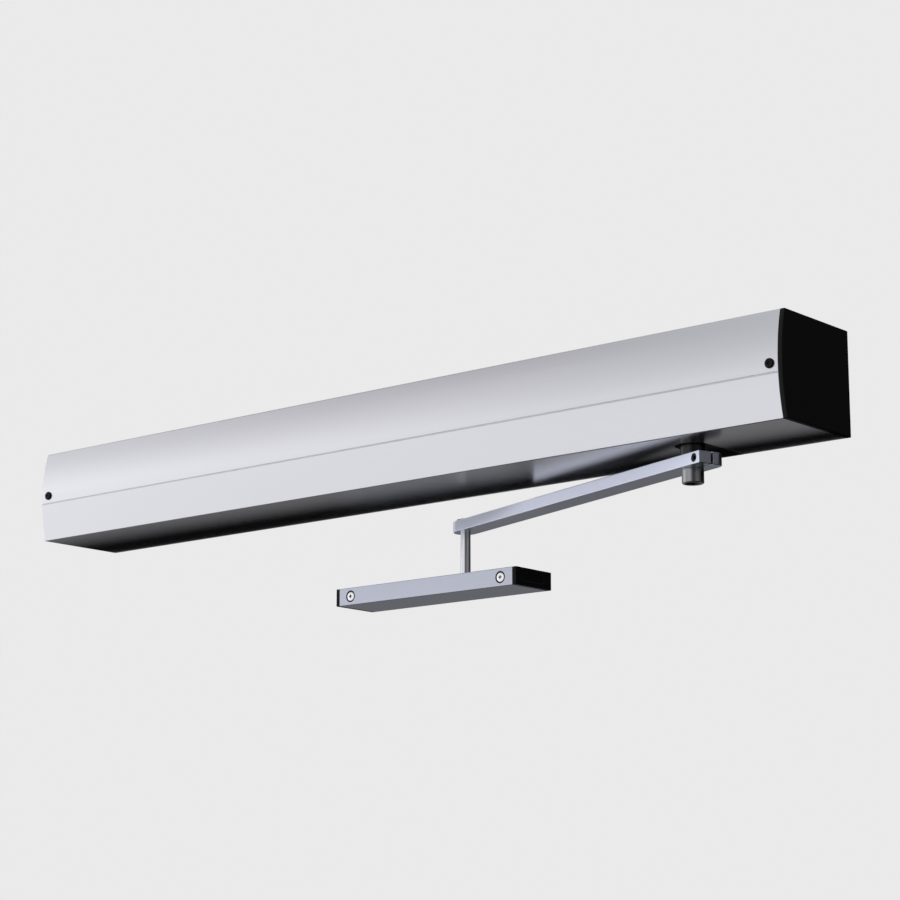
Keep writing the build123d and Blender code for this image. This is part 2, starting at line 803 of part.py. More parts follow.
with BuildPart() as spring_guide_rod:
    round_x(guide_rod_y, spring_axis_z, frame_left_x, frame_right_x, guide_rod_radius)
    chamfer(spring_guide_rod.edges().filter_by(GeomType.CIRCLE), 0.5)
save(spring_guide_rod, "spring_guide_rod")

# Closing spring: a coil around the guide rod, pressing the rack to the right
spring_left_x = frame_left_x + frame_lug + spring_wire_radius + part_gap
spring_right_x = rack_left_x - spring_wire_radius - part_gap
with BuildPart() as closing_spring:
    with BuildLine():
        coil = Helix(
            pitch=(spring_right_x - spring_left_x) / spring_turns,
            height=spring_right_x - spring_left_x,
            radius=spring_mean_radius,
            center=(spring_left_x, guide_rod_y, spring_axis_z),
            direction=(1, 0, 0),
        )
    with BuildSketch(Plane(origin=coil @ 0, z_dir=coil % 0)):
        Circle(spring_wire_radius)
    sweep(is_frenet=True)
save(closing_spring, "closing_spring")

# Spring rack: slides on the guide rod and is driven by the spring pinion on the spindle
rack_valley_y = rack_pitch_y + 1.25 * final_module
rack_tip_y = rack_pitch_y - final_module
slope = math.tan(math.radians(pressure_angle))
rack_half = rack_pitch / 4 - rack_backlash / 4
with BuildPart() as spring_rack:
    with BuildSketch(Plane.XY.offset(rack_bottom)):
        with Locations(((rack_left_x + rack_right_x) / 2, (rack_valley_y + rack_back_y) / 2)):
            Rectangle(rack_right_x - rack_left_x, rack_back_y - rack_valley_y)
        half_root = rack_half + slope * (rack_valley_y + 0.2 - rack_pitch_y)
        half_tip = rack_half - slope * final_module
        for count in range(rack_teeth_count):
            middle = spindle_x + (count - 1.5) * rack_pitch
            with BuildLine():
                Polyline(
                    (middle - half_root, rack_valley_y + 0.2),
                    (middle - half_tip, rack_tip_y),
                    (middle + half_tip, rack_tip_y),
                    (middle + half_root, rack_valley_y + 0.2),
                    close=True,
                )
            make_face()
    extrude(amount=rack_height)
    round_x(
        guide_rod_y,
        spring_axis_z,
        rack_left_x - 1,
        rack_right_x + 1,
        guide_rod_radius + running_gap,
        Mode.SUBTRACT,
    )
save(spring_rack, "spring_rack")

# Spindle: a stepped shaft through both bearings, with its threaded lower end under the arm
shoulder_bottom = bracket_top + part_gap
with BuildPart() as spindle:
    round_z(spindle_x, spindle_y, arm_bottom_z - spindle_end_length, arm_bottom_z, spindle_end_radius)
    round_z(spindle_x, spindle_y, arm_bottom_z, shoulder_bottom, spindle_lower_radius)
    round_z(spindle_x, spindle_y, shoulder_bottom, spring_pinion_bottom, spindle_shoulder_radius)
    round_z(spindle_x, spindle_y, spring_pinion_bottom, final_top + 1, spindle_radius)
    round_z(spindle_x, spindle_y, final_top + 1, lid_top - 0.5, spindle_top_radius)
    chamfer(spindle.edges().group_by(Axis.Z)[0], 0.8)
save(spindle, "spindle")

# Gears on the spindle: the output wheel and the pinion that works the spring rack
with BuildPart() as output_wheel:
    with BuildSketch(Plane((spindle_x, spindle_y, final_bottom))):
        add(gear_face(final_wheel_teeth, final_module, 180, spindle_radius))
    extrude(amount=final_wheel_width)
save(output_wheel, "output_wheel")

with BuildPart() as spring_pinion:
    with BuildSketch(Plane((spindle_x, spindle_y, spring_pinion_bottom))):
        add(gear_face(spring_pinion_teeth, final_module, 90, spindle_radius))
    extrude(amount=spring_pinion_width)
save(spring_pinion, "spring_pinion")

# Collar between the housing and the arm
with BuildPart() as spindle_collar:
    ring(spindle_x, spindle_y, arm_top_z, -half_height + 1, collar_radius, spindle_lower_radius)
    chamfer(spindle_collar.edges().group_by(Axis.Z)[-1].sort_by(SortBy.LENGTH)[-1], 0.4)
save(spindle_collar, "spindle_collar")

# Arm: a flat bar with a split clamping hub at the spindle and a full round at the rod
with BuildPart() as arm:
    bar_back = arm_front_offset - arm_width
    with BuildSketch(arm_plane):
        with Locations((0, (arm_front_offset - arm_hub_radius) / 2)):
            with Locations((-arm_hub_end / 2, 0)):
                Rectangle(arm_hub_end, arm_front_offset + arm_hub_radius)
        Circle(arm_hub_radius)
        with Locations((0, arm_front_offset + arm_hub_radius)):
            Rectangle(4 * arm_hub_radius, 2 * arm_hub_radius, mode=Mode.SUBTRACT)
        with Locations((arm_length / 2, rod_local_y)):
            Rectangle(arm_length, arm_width)
        with Locations((arm_length, rod_local_y)):
            Circle(arm_width / 2)
    extrude(amount=arm_thickness)
    back_corner = arm.edges().filter_by(Axis.Z).sort_by(Axis.X)[-1]
    fillet(back_corner, arm_corner_radius)
    chamfer(arm.faces().filter_by(Axis.Z).edges(), arm_edge_radius)
    with BuildSketch(arm_plane):
        Circle(spindle_lower_radius)
        with Locations((-arm_hub_end / 2 - spindle_lower_radius / 2, 0)):
            Rectangle(arm_hub_end, arm_slit)
        with Locations((arm_length, rod_local_y)):
            Circle(rod_radius)
    extrude(amount=arm_thickness, mode=Mode.SUBTRACT)
    screw_plane = Plane(
        origin=arm_plane.from_local_coords(Vector(-clamp_screw_from_axis, arm_front_offset, arm_thickness / 2)),
        x_dir=(0, 0, 1),
        z_dir=arm_plane.y_dir,
    )
    with BuildSketch(screw_plane):
        Circle(clamp_screw_radius + screw_gap)
    extrude(amount=-(arm_front_offset + arm_hub_radius - 3), mode=Mode.SUBTRACT)
    with BuildSketch(screw_plane):
        Circle(clamp_head_radius + screw_gap)
    extrude(amount=-(clamp_head_height + clamp_head_recess), mode=Mode.SUBTRACT)
save(arm, "arm")

with BuildPart() as arm_clamp_screw:
    with BuildSketch(screw_plane.offset(-clamp_head_recess)):
        Circle(clamp_head_radius)
    extrude(amount=-clamp_head_height)
    with BuildSketch(screw_plane.offset(-clamp_head_recess - clamp_head_height)):
        Circle(clamp_screw_radius)
    extrude(amount=-(arm_front_offset + arm_hub_radius - 5 - clamp_head_height))
    with BuildSketch(screw_plane.offset(-clamp_head_recess)):
        RegularPolygon(clamp_head_radius * 0.55, 6)
    extrude(amount=-clamp_head_height * 0.6, mode=Mode.SUBTRACT)
save(arm_clamp_screw, "arm_clamp_screw")

# Sleeve nut on the spindle's lower end
with BuildPart() as spindle_sleeve:
    ring(spindle_x, spindle_y, sleeve_bottom_z, arm_bottom_z, sleeve_radius, spindle_end_radius)
    round_z(
        spindle_x,
        spindle_y,
        sleeve_bottom_z,
        sleeve_bottom_z + sleeve_socket_depth,
        sleeve_socket_radius,
        Mode.SUBTRACT,
    )
    outer_rim = spindle_sleeve.edges().group_by(Axis.Z)[0].sort_by(SortBy.LENGTH)[-1]
    chamfer(outer_rim, 0.6)
save(spindle_sleeve, "spindle_sleeve")

# Slide rod: fixed in the arm, with a head that carries the slide block and a clip above the arm
head_bottom_z = channel_bottom_z + 2 * part_gap
with BuildPart() as slide_rod:
    round_z(rod_x, rod_y, head_bottom_z, arm_top_z + rod_clip_height + 1.4, rod_radius)
    round_z(rod_x, rod_y, head_bottom_z, head_bottom_z + rod_head_height, rod_head_radius)
    chamfer(slide_rod.edges().group_by(Axis.Z)[-1], 0.6)
save(slide_rod, "slide_rod")

with BuildPart() as rod_clip:
    ring(rod_x, rod_y, arm_top_z, arm_top_z + rod_clip_height, rod_clip_radius, rod_radius)
save(rod_clip, "rod_clip")

# Slide block: turns on the rod's head and runs in the rail
with BuildPart() as slide_block:
    slab(
        rod_x - slider_length / 2,
        rod_x + slider_length / 2,
        rod_y - slider_width / 2,
        rod_y + slider_width / 2,
        channel_bottom_z + part_gap,
        channel_top_z - part_gap,
    )
    fillet(slide_block.edges().filter_by(Axis.Z), 2)
    round_z(rod_x, rod_y, channel_bottom_z, channel_top_z, rod_radius + running_gap, Mode.SUBTRACT)
    round_z(
        rod_x,
        rod_y,
        channel_bottom_z,
        head_bottom_z + rod_head_height + part_gap,
        rod_head_radius + part_gap,
        Mode.SUBTRACT,
    )
save(slide_block, "slide_block")

# Guide rail: an extruded channel with a slot along its top
with BuildPart() as rail:
    with BuildSketch(Plane.YZ.offset(rail_x - rail_metal_length / 2)) as rail_section:
        with Locations((rod_y, rail_mid_z)):
            Rectangle(rail_depth, rail_height)
        fillet(rail_section.vertices(), rail_corner_radius)
        with Locations((rod_y, rail_mid_z)):
            Rectangle(rail_depth - 2 * rail_wall, rail_height - 2 * rail_wall, mode=Mode.SUBTRACT)
        with Locations((rod_y, rail_top_z)):
            Rectangle(rail_slot_width, 3 * rail_wall, mode=Mode.SUBTRACT)
    extrude(amount=rail_metal_length)
    for x in rail_screw_xs:
        round_y(x, rail_mid_z, rail_front_y, rail_back_y, rail_screw_radius + screw_gap, Mode.SUBTRACT)
        round_y(
            x,
            rail_mid_z,
            rail_front_y,
            rail_front_y + rail_screw_seat_depth,
            rail_screw_seat_radius,
            Mode.SUBTRACT,
        )
save(rail, "rail")


def make_rail_cap(side):
    """An end cap of the rail, with a tongue in the channel and a shallow recess outside."""
    end_x = rail_x + side * rail_metal_length / 2
    outer_x = end_x + side * rail_cap
    with BuildPart() as cap:
        slab(end_x, outer_x, rail_front_y, rail_back_y, rail_bottom_z, rail_top_z)
        fillet(cap.edges().filter_by(Axis.X), rail_corner_radius)
        slab(
            end_x - side * rail_cap_tongue,
            end_x + side * 0.5,
            rod_y - channel_half_width + part_gap,
            rod_y + channel_half_width - part_gap,
            channel_bottom_z + part_gap,
            channel_top_z - part_gap,
        )
        with BuildSketch(Plane((outer_x, rod_y, rail_mid_z), x_dir=(0, 1, 0), z_dir=(side, 0, 0))):
            SlotOverall(rail_depth * 0.62, rail_height * 0.45)
        extrude(amount=-rail_cap_recess, mode=Mode.SUBTRACT)
    return cap


rail_left_cap = make_rail_cap(-1)
save(rail_left_cap, "rail_left_cap")
rail_right_cap = make_rail_cap(1)
save(rail_right_cap, "rail_right_cap")

# Stop blocks in the rail's ends, and the screws that pass through them into the door leaf
with BuildPart() as rail_blocks:
    for side in (-1, 1):
        outer = rail_metal_length / 2 - rail_cap_tongue - part_gap
        slab(
            rail_x + side * outer,
            rail_x + side * (outer - rail_block_length),
            rod_y - channel_half_width + part_gap / 2,
            rod_y + channel_half_width - part_gap / 2,
            channel_bottom_z + part_gap / 2,
            channel_top_z - part_gap / 2,
        )
    for x in rail_screw_xs:
        round_y(x, rail_mid_z, rail_front_y, rail_back_y, rail_screw_radius + screw_gap, Mode.SUBTRACT)
save(rail_blocks, "rail_blocks")

with BuildPart() as rail_screws:
    seat_y = rail_front_y + rail_screw_seat_depth
    for x in rail_screw_xs:
        round_y(x, rail_mid_z, seat_y, rail_back_y - rail_screw_end_gap, rail_screw_radius)
        round_y(x, rail_mid_z, seat_y - rail_screw_head_height, seat_y, rail_screw_head_radius)
        cross_y(x, rail_mid_z, seat_y - rail_screw_head_height, seat_y - 0.5, 1.2)
save(rail_screws, "rail_screws")


def idler_shaft(x, pinion_teeth, module, pinion_bottom, pinion_width, phase, collar_bottom, collar_top):
    """One idler shaft with its pinion cut on it and a thicker seat for its wheel."""
    with BuildPart() as shaft:
        round_z(x, spindle_y, gear_floor_z + 0.3, lid_top - 0.3, idler_journal_radius)
        round_z(x, spindle_y, collar_bottom, collar_top, idler_body_radius)
        with BuildSketch(Plane((x, spindle_y, pinion_bottom))):
            add(gear_face(pinion_teeth, module, phase))
        extrude(amount=pinion_width)
    return shaft


# Idler shafts and their wheels
low_idler_shaft = idler_shaft(
    low_idler_x,
    final_pinion_teeth,
    final_module,
    final_bottom - pinion_extra,
    final_wheel_width + 2 * pinion_extra,
    180 / final_pinion_teeth,
    final_top,
    middle_top + 1,
)
save(low_idler_shaft, "low_idler_shaft")

with BuildPart() as low_idler_wheel:
    with BuildSketch(Plane((low_idler_x, spindle_y, middle_bottom))):
        add(gear_face(middle_wheel_teeth, middle_module, 180, idler_body_radius))
    extrude(amount=middle_wheel_width)
save(low_idler_wheel, "low_idler_wheel")

high_idler_shaft = idler_shaft(
    high_idler_x,
    middle_pinion_teeth,
    middle_module,
    middle_bottom - pinion_extra,
    middle_wheel_width + 2 * pinion_extra,
    180 / middle_pinion_teeth,
    middle_top,
    first_top + 1,
)
save(high_idler_shaft, "high_idler_shaft")

with BuildPart() as high_idler_wheel:
    with BuildSketch(Plane((high_idler_x, spindle_y, first_bottom))):
        add(gear_face(first_wheel_teeth, first_module, 180, idler_body_radius))
    extrude(amount=first_wheel_width)
save(high_idler_wheel, "high_idler_wheel")

# Motor rotor and pinion
with BuildPart() as motor_rotor:
    round_z(motor_x, spindle_y, motor_bottom_z + 0.5, first_top + pinion_extra, motor_shaft_radius)
    round_z(motor_x, spindle_y, rotor_bottom_z, rotor_top_z, rotor_radius)
save(motor_rotor, "motor_rotor")

with BuildPart() as motor_pinion:
    with BuildSketch(Plane((motor_x, spindle_y, first_bottom - pinion_extra))):
        add(gear_face(motor_pinion_teeth, first_module, 180 / motor_pinion_teeth, motor_shaft_radius))
    extrude(amount=first_wheel_width + 2 * pinion_extra)
save(motor_pinion, "motor_pinion")

# Position sensor over the spindle's top end
with BuildPart() as position_sensor:
    slab(spindle_x - 13, spindle_x + 13, spindle_y - 13, spindle_y + 13, lid_top, lid_top + 3)
    fillet(position_sensor.edges().filter_by(Axis.Z), 2)
    round_z(spindle_x, spindle_y, lid_top, lid_top + 1.5, spindle_top_radius + 1, Mode.SUBTRACT)
save(position_sensor, "position_sensor")

# Control board on its standoffs, with the parts soldered to it
with BuildPart() as control_board:
    slab(board_left_x, board_right_x, board_front_y, board_back_y, -board_half_height, board_half_height)
    for x, z in standoff_places:
        round_y(x, z, board_front_y, board_back_y, small_screw_radius + screw_gap, Mode.SUBTRACT)
save(control_board, "control_board")

with BuildPart() as board_standoffs:
    for x, z in standoff_places:
        round_y(x, z, board_back_y, -plate_thickness, standoff_radius)
        round_y(x, z, board_back_y, -plate_thickness, small_screw_radius + screw_gap, Mode.SUBTRACT)
save(board_standoffs, "board_standoffs")

# Small screws: four in the gearbox lid and four in the control board
with BuildPart() as small_screws:
    for x, y in lid_screw_places:
        round_z(x, y, lid_top - small_screw_length, lid_top, small_screw_radius)
        round_z(x, y, lid_top, lid_top + small_screw_head_height, small_screw_head_radius)
        recess_z = lid_top + small_screw_head_height
        slab(x - 1.5, x + 1.5, y - 0.5, y + 0.5, recess_z - cross_recess, recess_z, Mode.SUBTRACT)
        slab(x - 0.5, x + 0.5, y - 1.5, y + 1.5, recess_z - cross_recess, recess_z, Mode.SUBTRACT)
    for x, z in standoff_places:
        head_y = board_front_y - small_screw_head_height
        round_y(x, z, board_front_y, board_front_y + small_screw_length, small_screw_radius)
        round_y(x, z, head_y, board_front_y, small_screw_head_radius)
        cross_y(x, z, head_y, head_y + cross_recess, 1.5)
save(small_screws, "small_screws")

# Terminals along the board's lower edge, and the two plugs for the leads
terminal_pitch = 11.0
terminal_count = 10
plug_size = 8.0
plug_left_x = board_left_x + 5.0
plug_left_z = 8.0
plug_right_x = board_right_x - 13.0
plug_right_z = -17.0
with BuildPart() as board_terminals:
    for count in range(terminal_count):
        x = board_left_x + 14 + count * terminal_pitch
        slab(x, x + 10, board_front_y - 12, board_front_y, -board_half_height, -board_half_height + 11)
        slab(
            x + 2.5,
            x + 7.5,
            board_front_y - 9,
            board_front_y - 3,
            -board_half_height,
            -board_half_height + 5,
            Mode.SUBTRACT,
        )
        round_y(x + 5, -board_half_height + 7.5, board_front_y - 12, board_front_y - 10, 2, Mode.SUBTRACT)
    for x, z in ((plug_left_x, plug_left_z), (plug_right_x, plug_right_z)):
        slab(x, x + plug_size, board_front_y - 9, board_front_y, z - plug_size / 2, z + plug_size / 2)
save(board_terminals, "board_terminals")

with BuildPart() as board_capacitors:
    for count in range(3):
        round_y(board_left_x + 24 + count * 22, 14, board_front_y - 26, board_front_y, 8.5)
    fillet(board_capacitors.edges().group_by(Axis.Y)[0], 1.2)
save(board_capacitors, "board_capacitors")

with BuildPart() as board_relays:
    for count in range(2):
        x = board_left_x + 92 + count * 24
        slab(x, x + 19, board_front_y - 15.5, board_front_y, 2, 18)
    fillet(board_relays.edges().group_by(Axis.Y)[0], 1)
save(board_relays, "board_relays")

heat_fins = 6
with BuildPart() as board_heatsink:
    heat_left_x = board_right_x - 42
    slab(heat_left_x, heat_left_x + 40, board_front_y - 5, board_front_y, -12, 22)
    for count in range(heat_fins):
        x = heat_left_x + count * (40 - 2) / (heat_fins - 1)
        slab(x, x + 2, board_front_y - 26, board_front_y - 4.5, -12, 22)
save(board_heatsink, "board_heatsink")

# Power supply: a sheet tray and vented cover around a board with a transformer
with BuildPart() as supply_tray:
    slab(
        supply_left_x, supply_right_x, supply_front_y, -plate_thickness, -supply_half_height, supply_half_height
    )
    slab(
        supply_left_x + supply_sheet,
        supply_right_x - supply_sheet,
        supply_front_y,
        -plate_thickness - supply_sheet,
        -supply_half_height + supply_sheet,
        supply_half_height - supply_sheet,
        Mode.SUBTRACT,
    )
save(supply_tray, "supply_tray")

with BuildPart() as supply_cover:
    slab(
        supply_left_x,
        supply_right_x,
        supply_front_y - supply_sheet,
        supply_front_y,
        -supply_half_height,
        supply_half_height,
    )
    with BuildSketch(
        Plane(
            ((supply_left_x + supply_right_x) / 2, supply_front_y - supply_sheet, 0),
            x_dir=(1, 0, 0),
            z_dir=(0, -1, 0),
        )
    ):
        with GridLocations(12, 26, 12, 2):
            SlotOverall(18, 4, rotation=90)
    extrude(amount=-supply_sheet, mode=Mode.SUBTRACT)
save(supply_cover, "supply_cover")

supply_board_y = -plate_thickness - supply_sheet - 4
with BuildPart() as supply_board:
    slab(
        supply_left_x + 4,
        supply_right_x - 4,
        supply_board_y - 1.6,
        supply_board_y,
        -supply_half_height + 4,
        supply_half_height - 4,
    )
    for x in (supply_left_x + 10, supply_right_x - 10):
        for z in (-supply_half_height + 10, supply_half_height - 10):
            round_y(x, z, supply_board_y - 0.1, -plate_thickness - supply_sheet, 3)
    for x in (supply_left_x + 30, supply_left_x + 54):
        round_y(x, 0, supply_board_y - 30, supply_board_y - 1.5, 10)
save(supply_board, "supply_board")

with BuildPart() as supply_transformer:
    middle_x = (supply_left_x + supply_right_x) / 2 + 20
    slab(middle_x - 20, middle_x + 20, supply_board_y - 31, supply_board_y - 1.6, -22, 22)
    slab(middle_x - 14, middle_x + 14, supply_board_y - 34, supply_board_y - 30.9, -14, 14)
    fillet(supply_transformer.edges().group_by(Axis.Y)[0], 1.5)
save(supply_transformer, "supply_transformer")

# Mains terminal beside the cable inlet
with BuildPart() as mains_terminal:
    for count in range(mains_block_count):
        x = terminal_left_x + count * mains_block_pitch
        slab(x, x + mains_block_width, -plate_thickness - 16, -plate_thickness, -10, 10)
        for z in (-5.5, 5.5):
            round_y(
                x + mains_block_width / 2,
                z,
                -plate_thickness - 16,
                -plate_thickness - 11,
                2.2,
                Mode.SUBTRACT,
            )
    slab(terminal_left_x, terminal_right_x, -plate_thickness - 3, -plate_thickness, -8, 8)
save(mains_terminal, "mains_terminal")

# Grommet in the chassis plate, where the mains cable comes through the wall
with BuildPart() as cable_grommet:
    round_y(inlet_x, 0, -plate_thickness - grommet_flange, 0, inlet_hole_radius)
    round_y(
        inlet_x, 0, -plate_thickness - grommet_flange, -plate_thickness, inlet_hole_radius + grommet_lip
    )
    round_y(inlet_x, 0, -plate_thickness - grommet_flange, 0, inlet_bore_radius, Mode.SUBTRACT)
save(cable_grommet, "cable_grommet")


def lead(points):
    """One insulated lead along a smooth line through its points."""
    with BuildPart() as wire:
        with BuildLine():
            path = Spline(*points, tangents=[(1, 0, 0), (1, 0, 0)])
        with BuildSketch(Plane(origin=path @ 0, z_dir=path % 0)):
            Circle(lead_radius)
        sweep()
    return wire.part


# Leads from the mains terminal to the supply, on to the board, and from the board to the motor
motor_lead_y = spindle_y
with BuildPart() as wiring:
    add(
        lead(
            [
                (terminal_right_x + part_gap, -14, 0),
                ((terminal_right_x + supply_left_x) / 2, -14, 0.5),
                (supply_left_x - part_gap, -14, 0),
            ]
        )
    )
    add(
        lead(
            [
                (supply_right_x + part_gap, -26, 14),
                ((supply_right_x + board_left_x) / 2, -25, 12),
                (plug_left_x - part_gap, board_front_y - 5, plug_left_z),
            ]
        )
    )
    add(
        lead(
            [
                (plug_right_x + plug_size + part_gap, board_front_y - 5, plug_right_z),
                ((plug_right_x + plug_size + motor_x - motor_radius) / 2, motor_lead_y / 2 - 10, -20),
                (motor_x - motor_radius - part_gap, motor_lead_y, -22),
            ]
        )
    )
save(wiring, "wiring")

# Program switch in the left end cap: its body and the rocker
rocker_x = left_cap_outer_x + 5.5
cavity_half_length = switch_length / 2 - 1.5
cavity_half_width = switch_width / 2 - 1.4
with BuildPart() as switch_body:
    slab(
        -half_length,
        left_cap_outer_x,
        switch_y - switch_length / 2 - switch_bezel,
        switch_y + switch_length / 2 + switch_bezel,
        -switch_width / 2 - switch_bezel,
        switch_width / 2 + switch_bezel,
    )
    slab(
        left_cap_outer_x - 0.5,
        left_cap_outer_x + 18,
        switch_y - switch_length / 2 + part_gap / 2,
        switch_y + switch_length / 2 - part_gap / 2,
        -switch_width / 2 + part_gap / 2,
        switch_width / 2 - part_gap / 2,
    )
    slab(
        -half_length,
        left_cap_outer_x + 11,
        switch_y - cavity_half_length,
        switch_y + cavity_half_length,
        -cavity_half_width,
        cavity_half_width,
        Mode.SUBTRACT,
    )
save(switch_body, "switch_body")

with BuildPart() as switch_rocker:
    with BuildSketch(Plane((rocker_x, switch_y, -cavity_half_width + rocker_gap))):
        rocker_half = cavity_half_length - 1.3
        with BuildLine():
            Polyline((-5, rocker_half), (3, rocker_half - 2), (3, -rocker_half + 2), (-5, -rocker_half))
            ThreePointArc((-5, -rocker_half), (-3.8, 0), (-5, rocker_half))
        make_face()
    extrude(amount=2 * (cavity_half_width - rocker_gap))
save(switch_rocker, "switch_rocker")
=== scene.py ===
# Automatic door operator: silver drive housing, swing arm, slide rod and guide rail, in metres.
import math

import bmesh
import bpy
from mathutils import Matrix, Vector


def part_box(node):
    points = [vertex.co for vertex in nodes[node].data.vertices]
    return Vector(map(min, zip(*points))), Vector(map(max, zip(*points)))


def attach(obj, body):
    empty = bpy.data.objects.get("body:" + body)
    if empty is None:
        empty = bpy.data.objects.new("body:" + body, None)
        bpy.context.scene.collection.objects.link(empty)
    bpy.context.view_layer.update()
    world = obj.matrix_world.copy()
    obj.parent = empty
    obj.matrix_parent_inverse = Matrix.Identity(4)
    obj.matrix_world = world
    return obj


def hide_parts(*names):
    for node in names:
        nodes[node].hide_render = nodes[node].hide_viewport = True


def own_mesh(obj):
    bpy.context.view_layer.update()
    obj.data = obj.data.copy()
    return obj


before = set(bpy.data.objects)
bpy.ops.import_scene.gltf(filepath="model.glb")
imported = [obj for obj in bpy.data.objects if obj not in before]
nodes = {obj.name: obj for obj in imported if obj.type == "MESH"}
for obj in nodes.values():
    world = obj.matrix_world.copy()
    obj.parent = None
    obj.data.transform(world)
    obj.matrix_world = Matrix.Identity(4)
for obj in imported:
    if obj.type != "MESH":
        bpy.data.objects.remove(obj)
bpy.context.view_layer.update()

# Studio: the camera looks up at the housing from its right end, as in the photograph. It sees a plain pale
# surround, while the pieces mirror a soft one that is bright in front of them and dim behind.
scene = bpy.context.scene
scene.view_settings.view_transform = "Standard"
camera_data = bpy.data.cameras.new("camera")
camera_data.lens = 95.8
camera_data.sensor_width = 36.0
camera_data.clip_end = 50.0
camera = bpy.data.objects.new("camera", camera_data)
camera.location = (1.348, -1.582, -0.4346)
camera_aim = Vector((-0.6306, 0.7481, 0.2069))
camera.rotation_euler = camera_aim.to_track_quat("-Z", "Y").to_euler()
scene.collection.objects.link(camera)
scene.camera = camera


def area_lamp(name, place, aim, width, depth, power):
    """A soft rectangular lamp at place, turned to aim, that the camera doesn't see."""
    lamp = bpy.data.lights.new(name, "AREA")
    lamp.shape = "RECTANGLE"
    lamp.size = width
    lamp.size_y = depth
    lamp.energy = power
    holder = bpy.data.objects.new(name, lamp)
    holder.location = place
    holder.rotation_euler = (Vector(aim) - Vector(place)).to_track_quat("-Z", "Y").to_euler()
    holder.visible_camera = False
    scene.collection.objects.link(holder)


area_lamp("key_lamp", place=(-2.6, -2.3, 1.3), aim=(-0.2, 0, 0), width=1.6, depth=1.6, power=2.5)
area_lamp("top_lamp", place=(0.2, 0.3, 2.6), aim=(0, 0, 0), width=1.6, depth=1.2, power=16)


def node(tree, kind, **settings):
    """Add a node. Settings in small letters are its properties; the others are its inputs.

    An input goes by its name, with _ for a space, or by _ and its number. It takes a value or a socket.
    """
    made = tree.nodes.new(kind)
    for label, value in settings.items():
        if label.islower():
            setattr(made, label, value)
    for label, value in settings.items():
        if label.islower():
            continue
        socket = made.inputs[int(label[1:]) if label[0] == "_" else label.replace("_", " ")]
        if isinstance(value, bpy.types.NodeSocket):
            tree.links.new(value, socket)
        else:
            socket.default_value = value
    return made


def mixed(tree, factor, first, second, way="MIX"):
    """The mix of two colours by a factor, or what another way of blending makes of them."""
    made = node(tree, "ShaderNodeMix", data_type="RGBA", blend_type=way, Factor=factor, A=first, B=second)
    return made.outputs["Result"]


world = bpy.data.worlds.new("surround")
scene.world = world
world.use_nodes = True
world_tree = world.node_tree
world_tree.nodes.clear()
direction = node(world_tree, "ShaderNodeTexCoord").outputs["Generated"]
towards = node(world_tree, "ShaderNodeSeparateXYZ", _0=direction).outputs
cool_tint = 1.02


def falloff(axis, *stops):
    """A smooth grey ramp over one axis of the direction, which runs from -1 to 1."""
    spread = node(world_tree, "ShaderNodeMapRange", Value=towards[axis], From_Min=-1.0)
    ramp = node(world_tree, "ShaderNodeValToRGB", Fac=spread.outputs["Result"])
    ramp.color_ramp.interpolation = "EASE"
    while len(ramp.color_ramp.elements) < len(stops):
        ramp.color_ramp.elements.new(0.5)
    for element, (at, level) in zip(ramp.color_ramp.elements, stops):
        element.position = (at + 1) / 2
        element.color = (level, level, level * cool_tint, 1)
    return ramp.outputs["Color"]


def product(first, second):
    """Two colours of the surround multiplied."""
    return mixed(world_tree, 1.0, first, second, "MULTIPLY")


front_height = falloff("Z", (-1, 0.02), (-0.75, 0.1), (-0.5, 0.9), (0.05, 0.9), (0.52, 0.42), (1, 0.5))
front_side = falloff(
    "X", (-1, 1.6), (-0.84, 1.4), (-0.76, 1), (0.08, 1), (0.4, 0.3), (0.62, 0.08), (0.8, 0.2), (1, 0.4)
)
upper_side = falloff("X", (-1, 1.7), (-0.8, 1.6), (-0.67, 0.45), (-0.5, 1.4), (-0.3, 1.8))
above = falloff("Z", (0.05, 0), (0.55, 1))
front_rise = mixed(world_tree, above, front_height, product(front_height, upper_side))
front_light = product(front_rise, front_side)
back_height = falloff(
    "Z", (-1, 0.01), (-0.5, 0.02), (-0.32, 0.22), (-0.05, 0.24), (0.12, 0.13), (0.5, 0.5), (1, 0.6)
)
back_side = falloff("X", (-1, 3), (-0.84, 2.6), (-0.72, 1), (-0.45, 1), (0, 0.15), (0.6, 0.2), (0.95, 1))
back_light = product(back_height, back_side)
behind = falloff("Y", (-0.12, 0), (0.3, 1))
lit = node(world_tree, "ShaderNodeBackground", Color=mixed(world_tree, behind, front_light, back_light))
backdrop_grey = 0.823
seen = node(world_tree, "ShaderNodeBackground", Color=(backdrop_grey, backdrop_grey, backdrop_grey, 1))
by_camera = node(world_tree, "ShaderNodeLightPath").outputs["Is Camera Ray"]
shown = node(world_tree, "ShaderNodeMixShader", Fac=by_camera, _1=lit.outputs[0], _2=seen.outputs[0])
node(world_tree, "ShaderNodeOutputWorld", Surface=shown.outputs[0])

# Floor: a wide sheet of pale studio paper, well below the housing, which hangs on a wall. It only takes the
# shadow: a glow of its own keeps it as pale as the surround, and no piece mirrors it.


def studio_piece(name, corners, face, level, roughness, glow=0.0):
    """A flat piece of the studio in one even matt grey."""
    mesh = bpy.data.meshes.new(name)
    mesh.from_pydata(corners, [], [face])
    piece = bpy.data.objects.new(name, mesh)
    scene.collection.objects.link(piece)
    surface = bpy.data.materials.new(name)
    surface.use_nodes = True
    shader = surface.node_tree.nodes["Principled BSDF"]
    shader.inputs["Base Color"].default_value = (level, level, level, 1)
    shader.inputs["Roughness"].default_value = roughness
    shader.inputs["Specular IOR Level"].default_value = 0.0
    shader.inputs["Emission Color"].default_value = (1, 1, 1, 1)
    shader.inputs["Emission Strength"].default_value = glow
    mesh.materials.append(surface)
    return piece


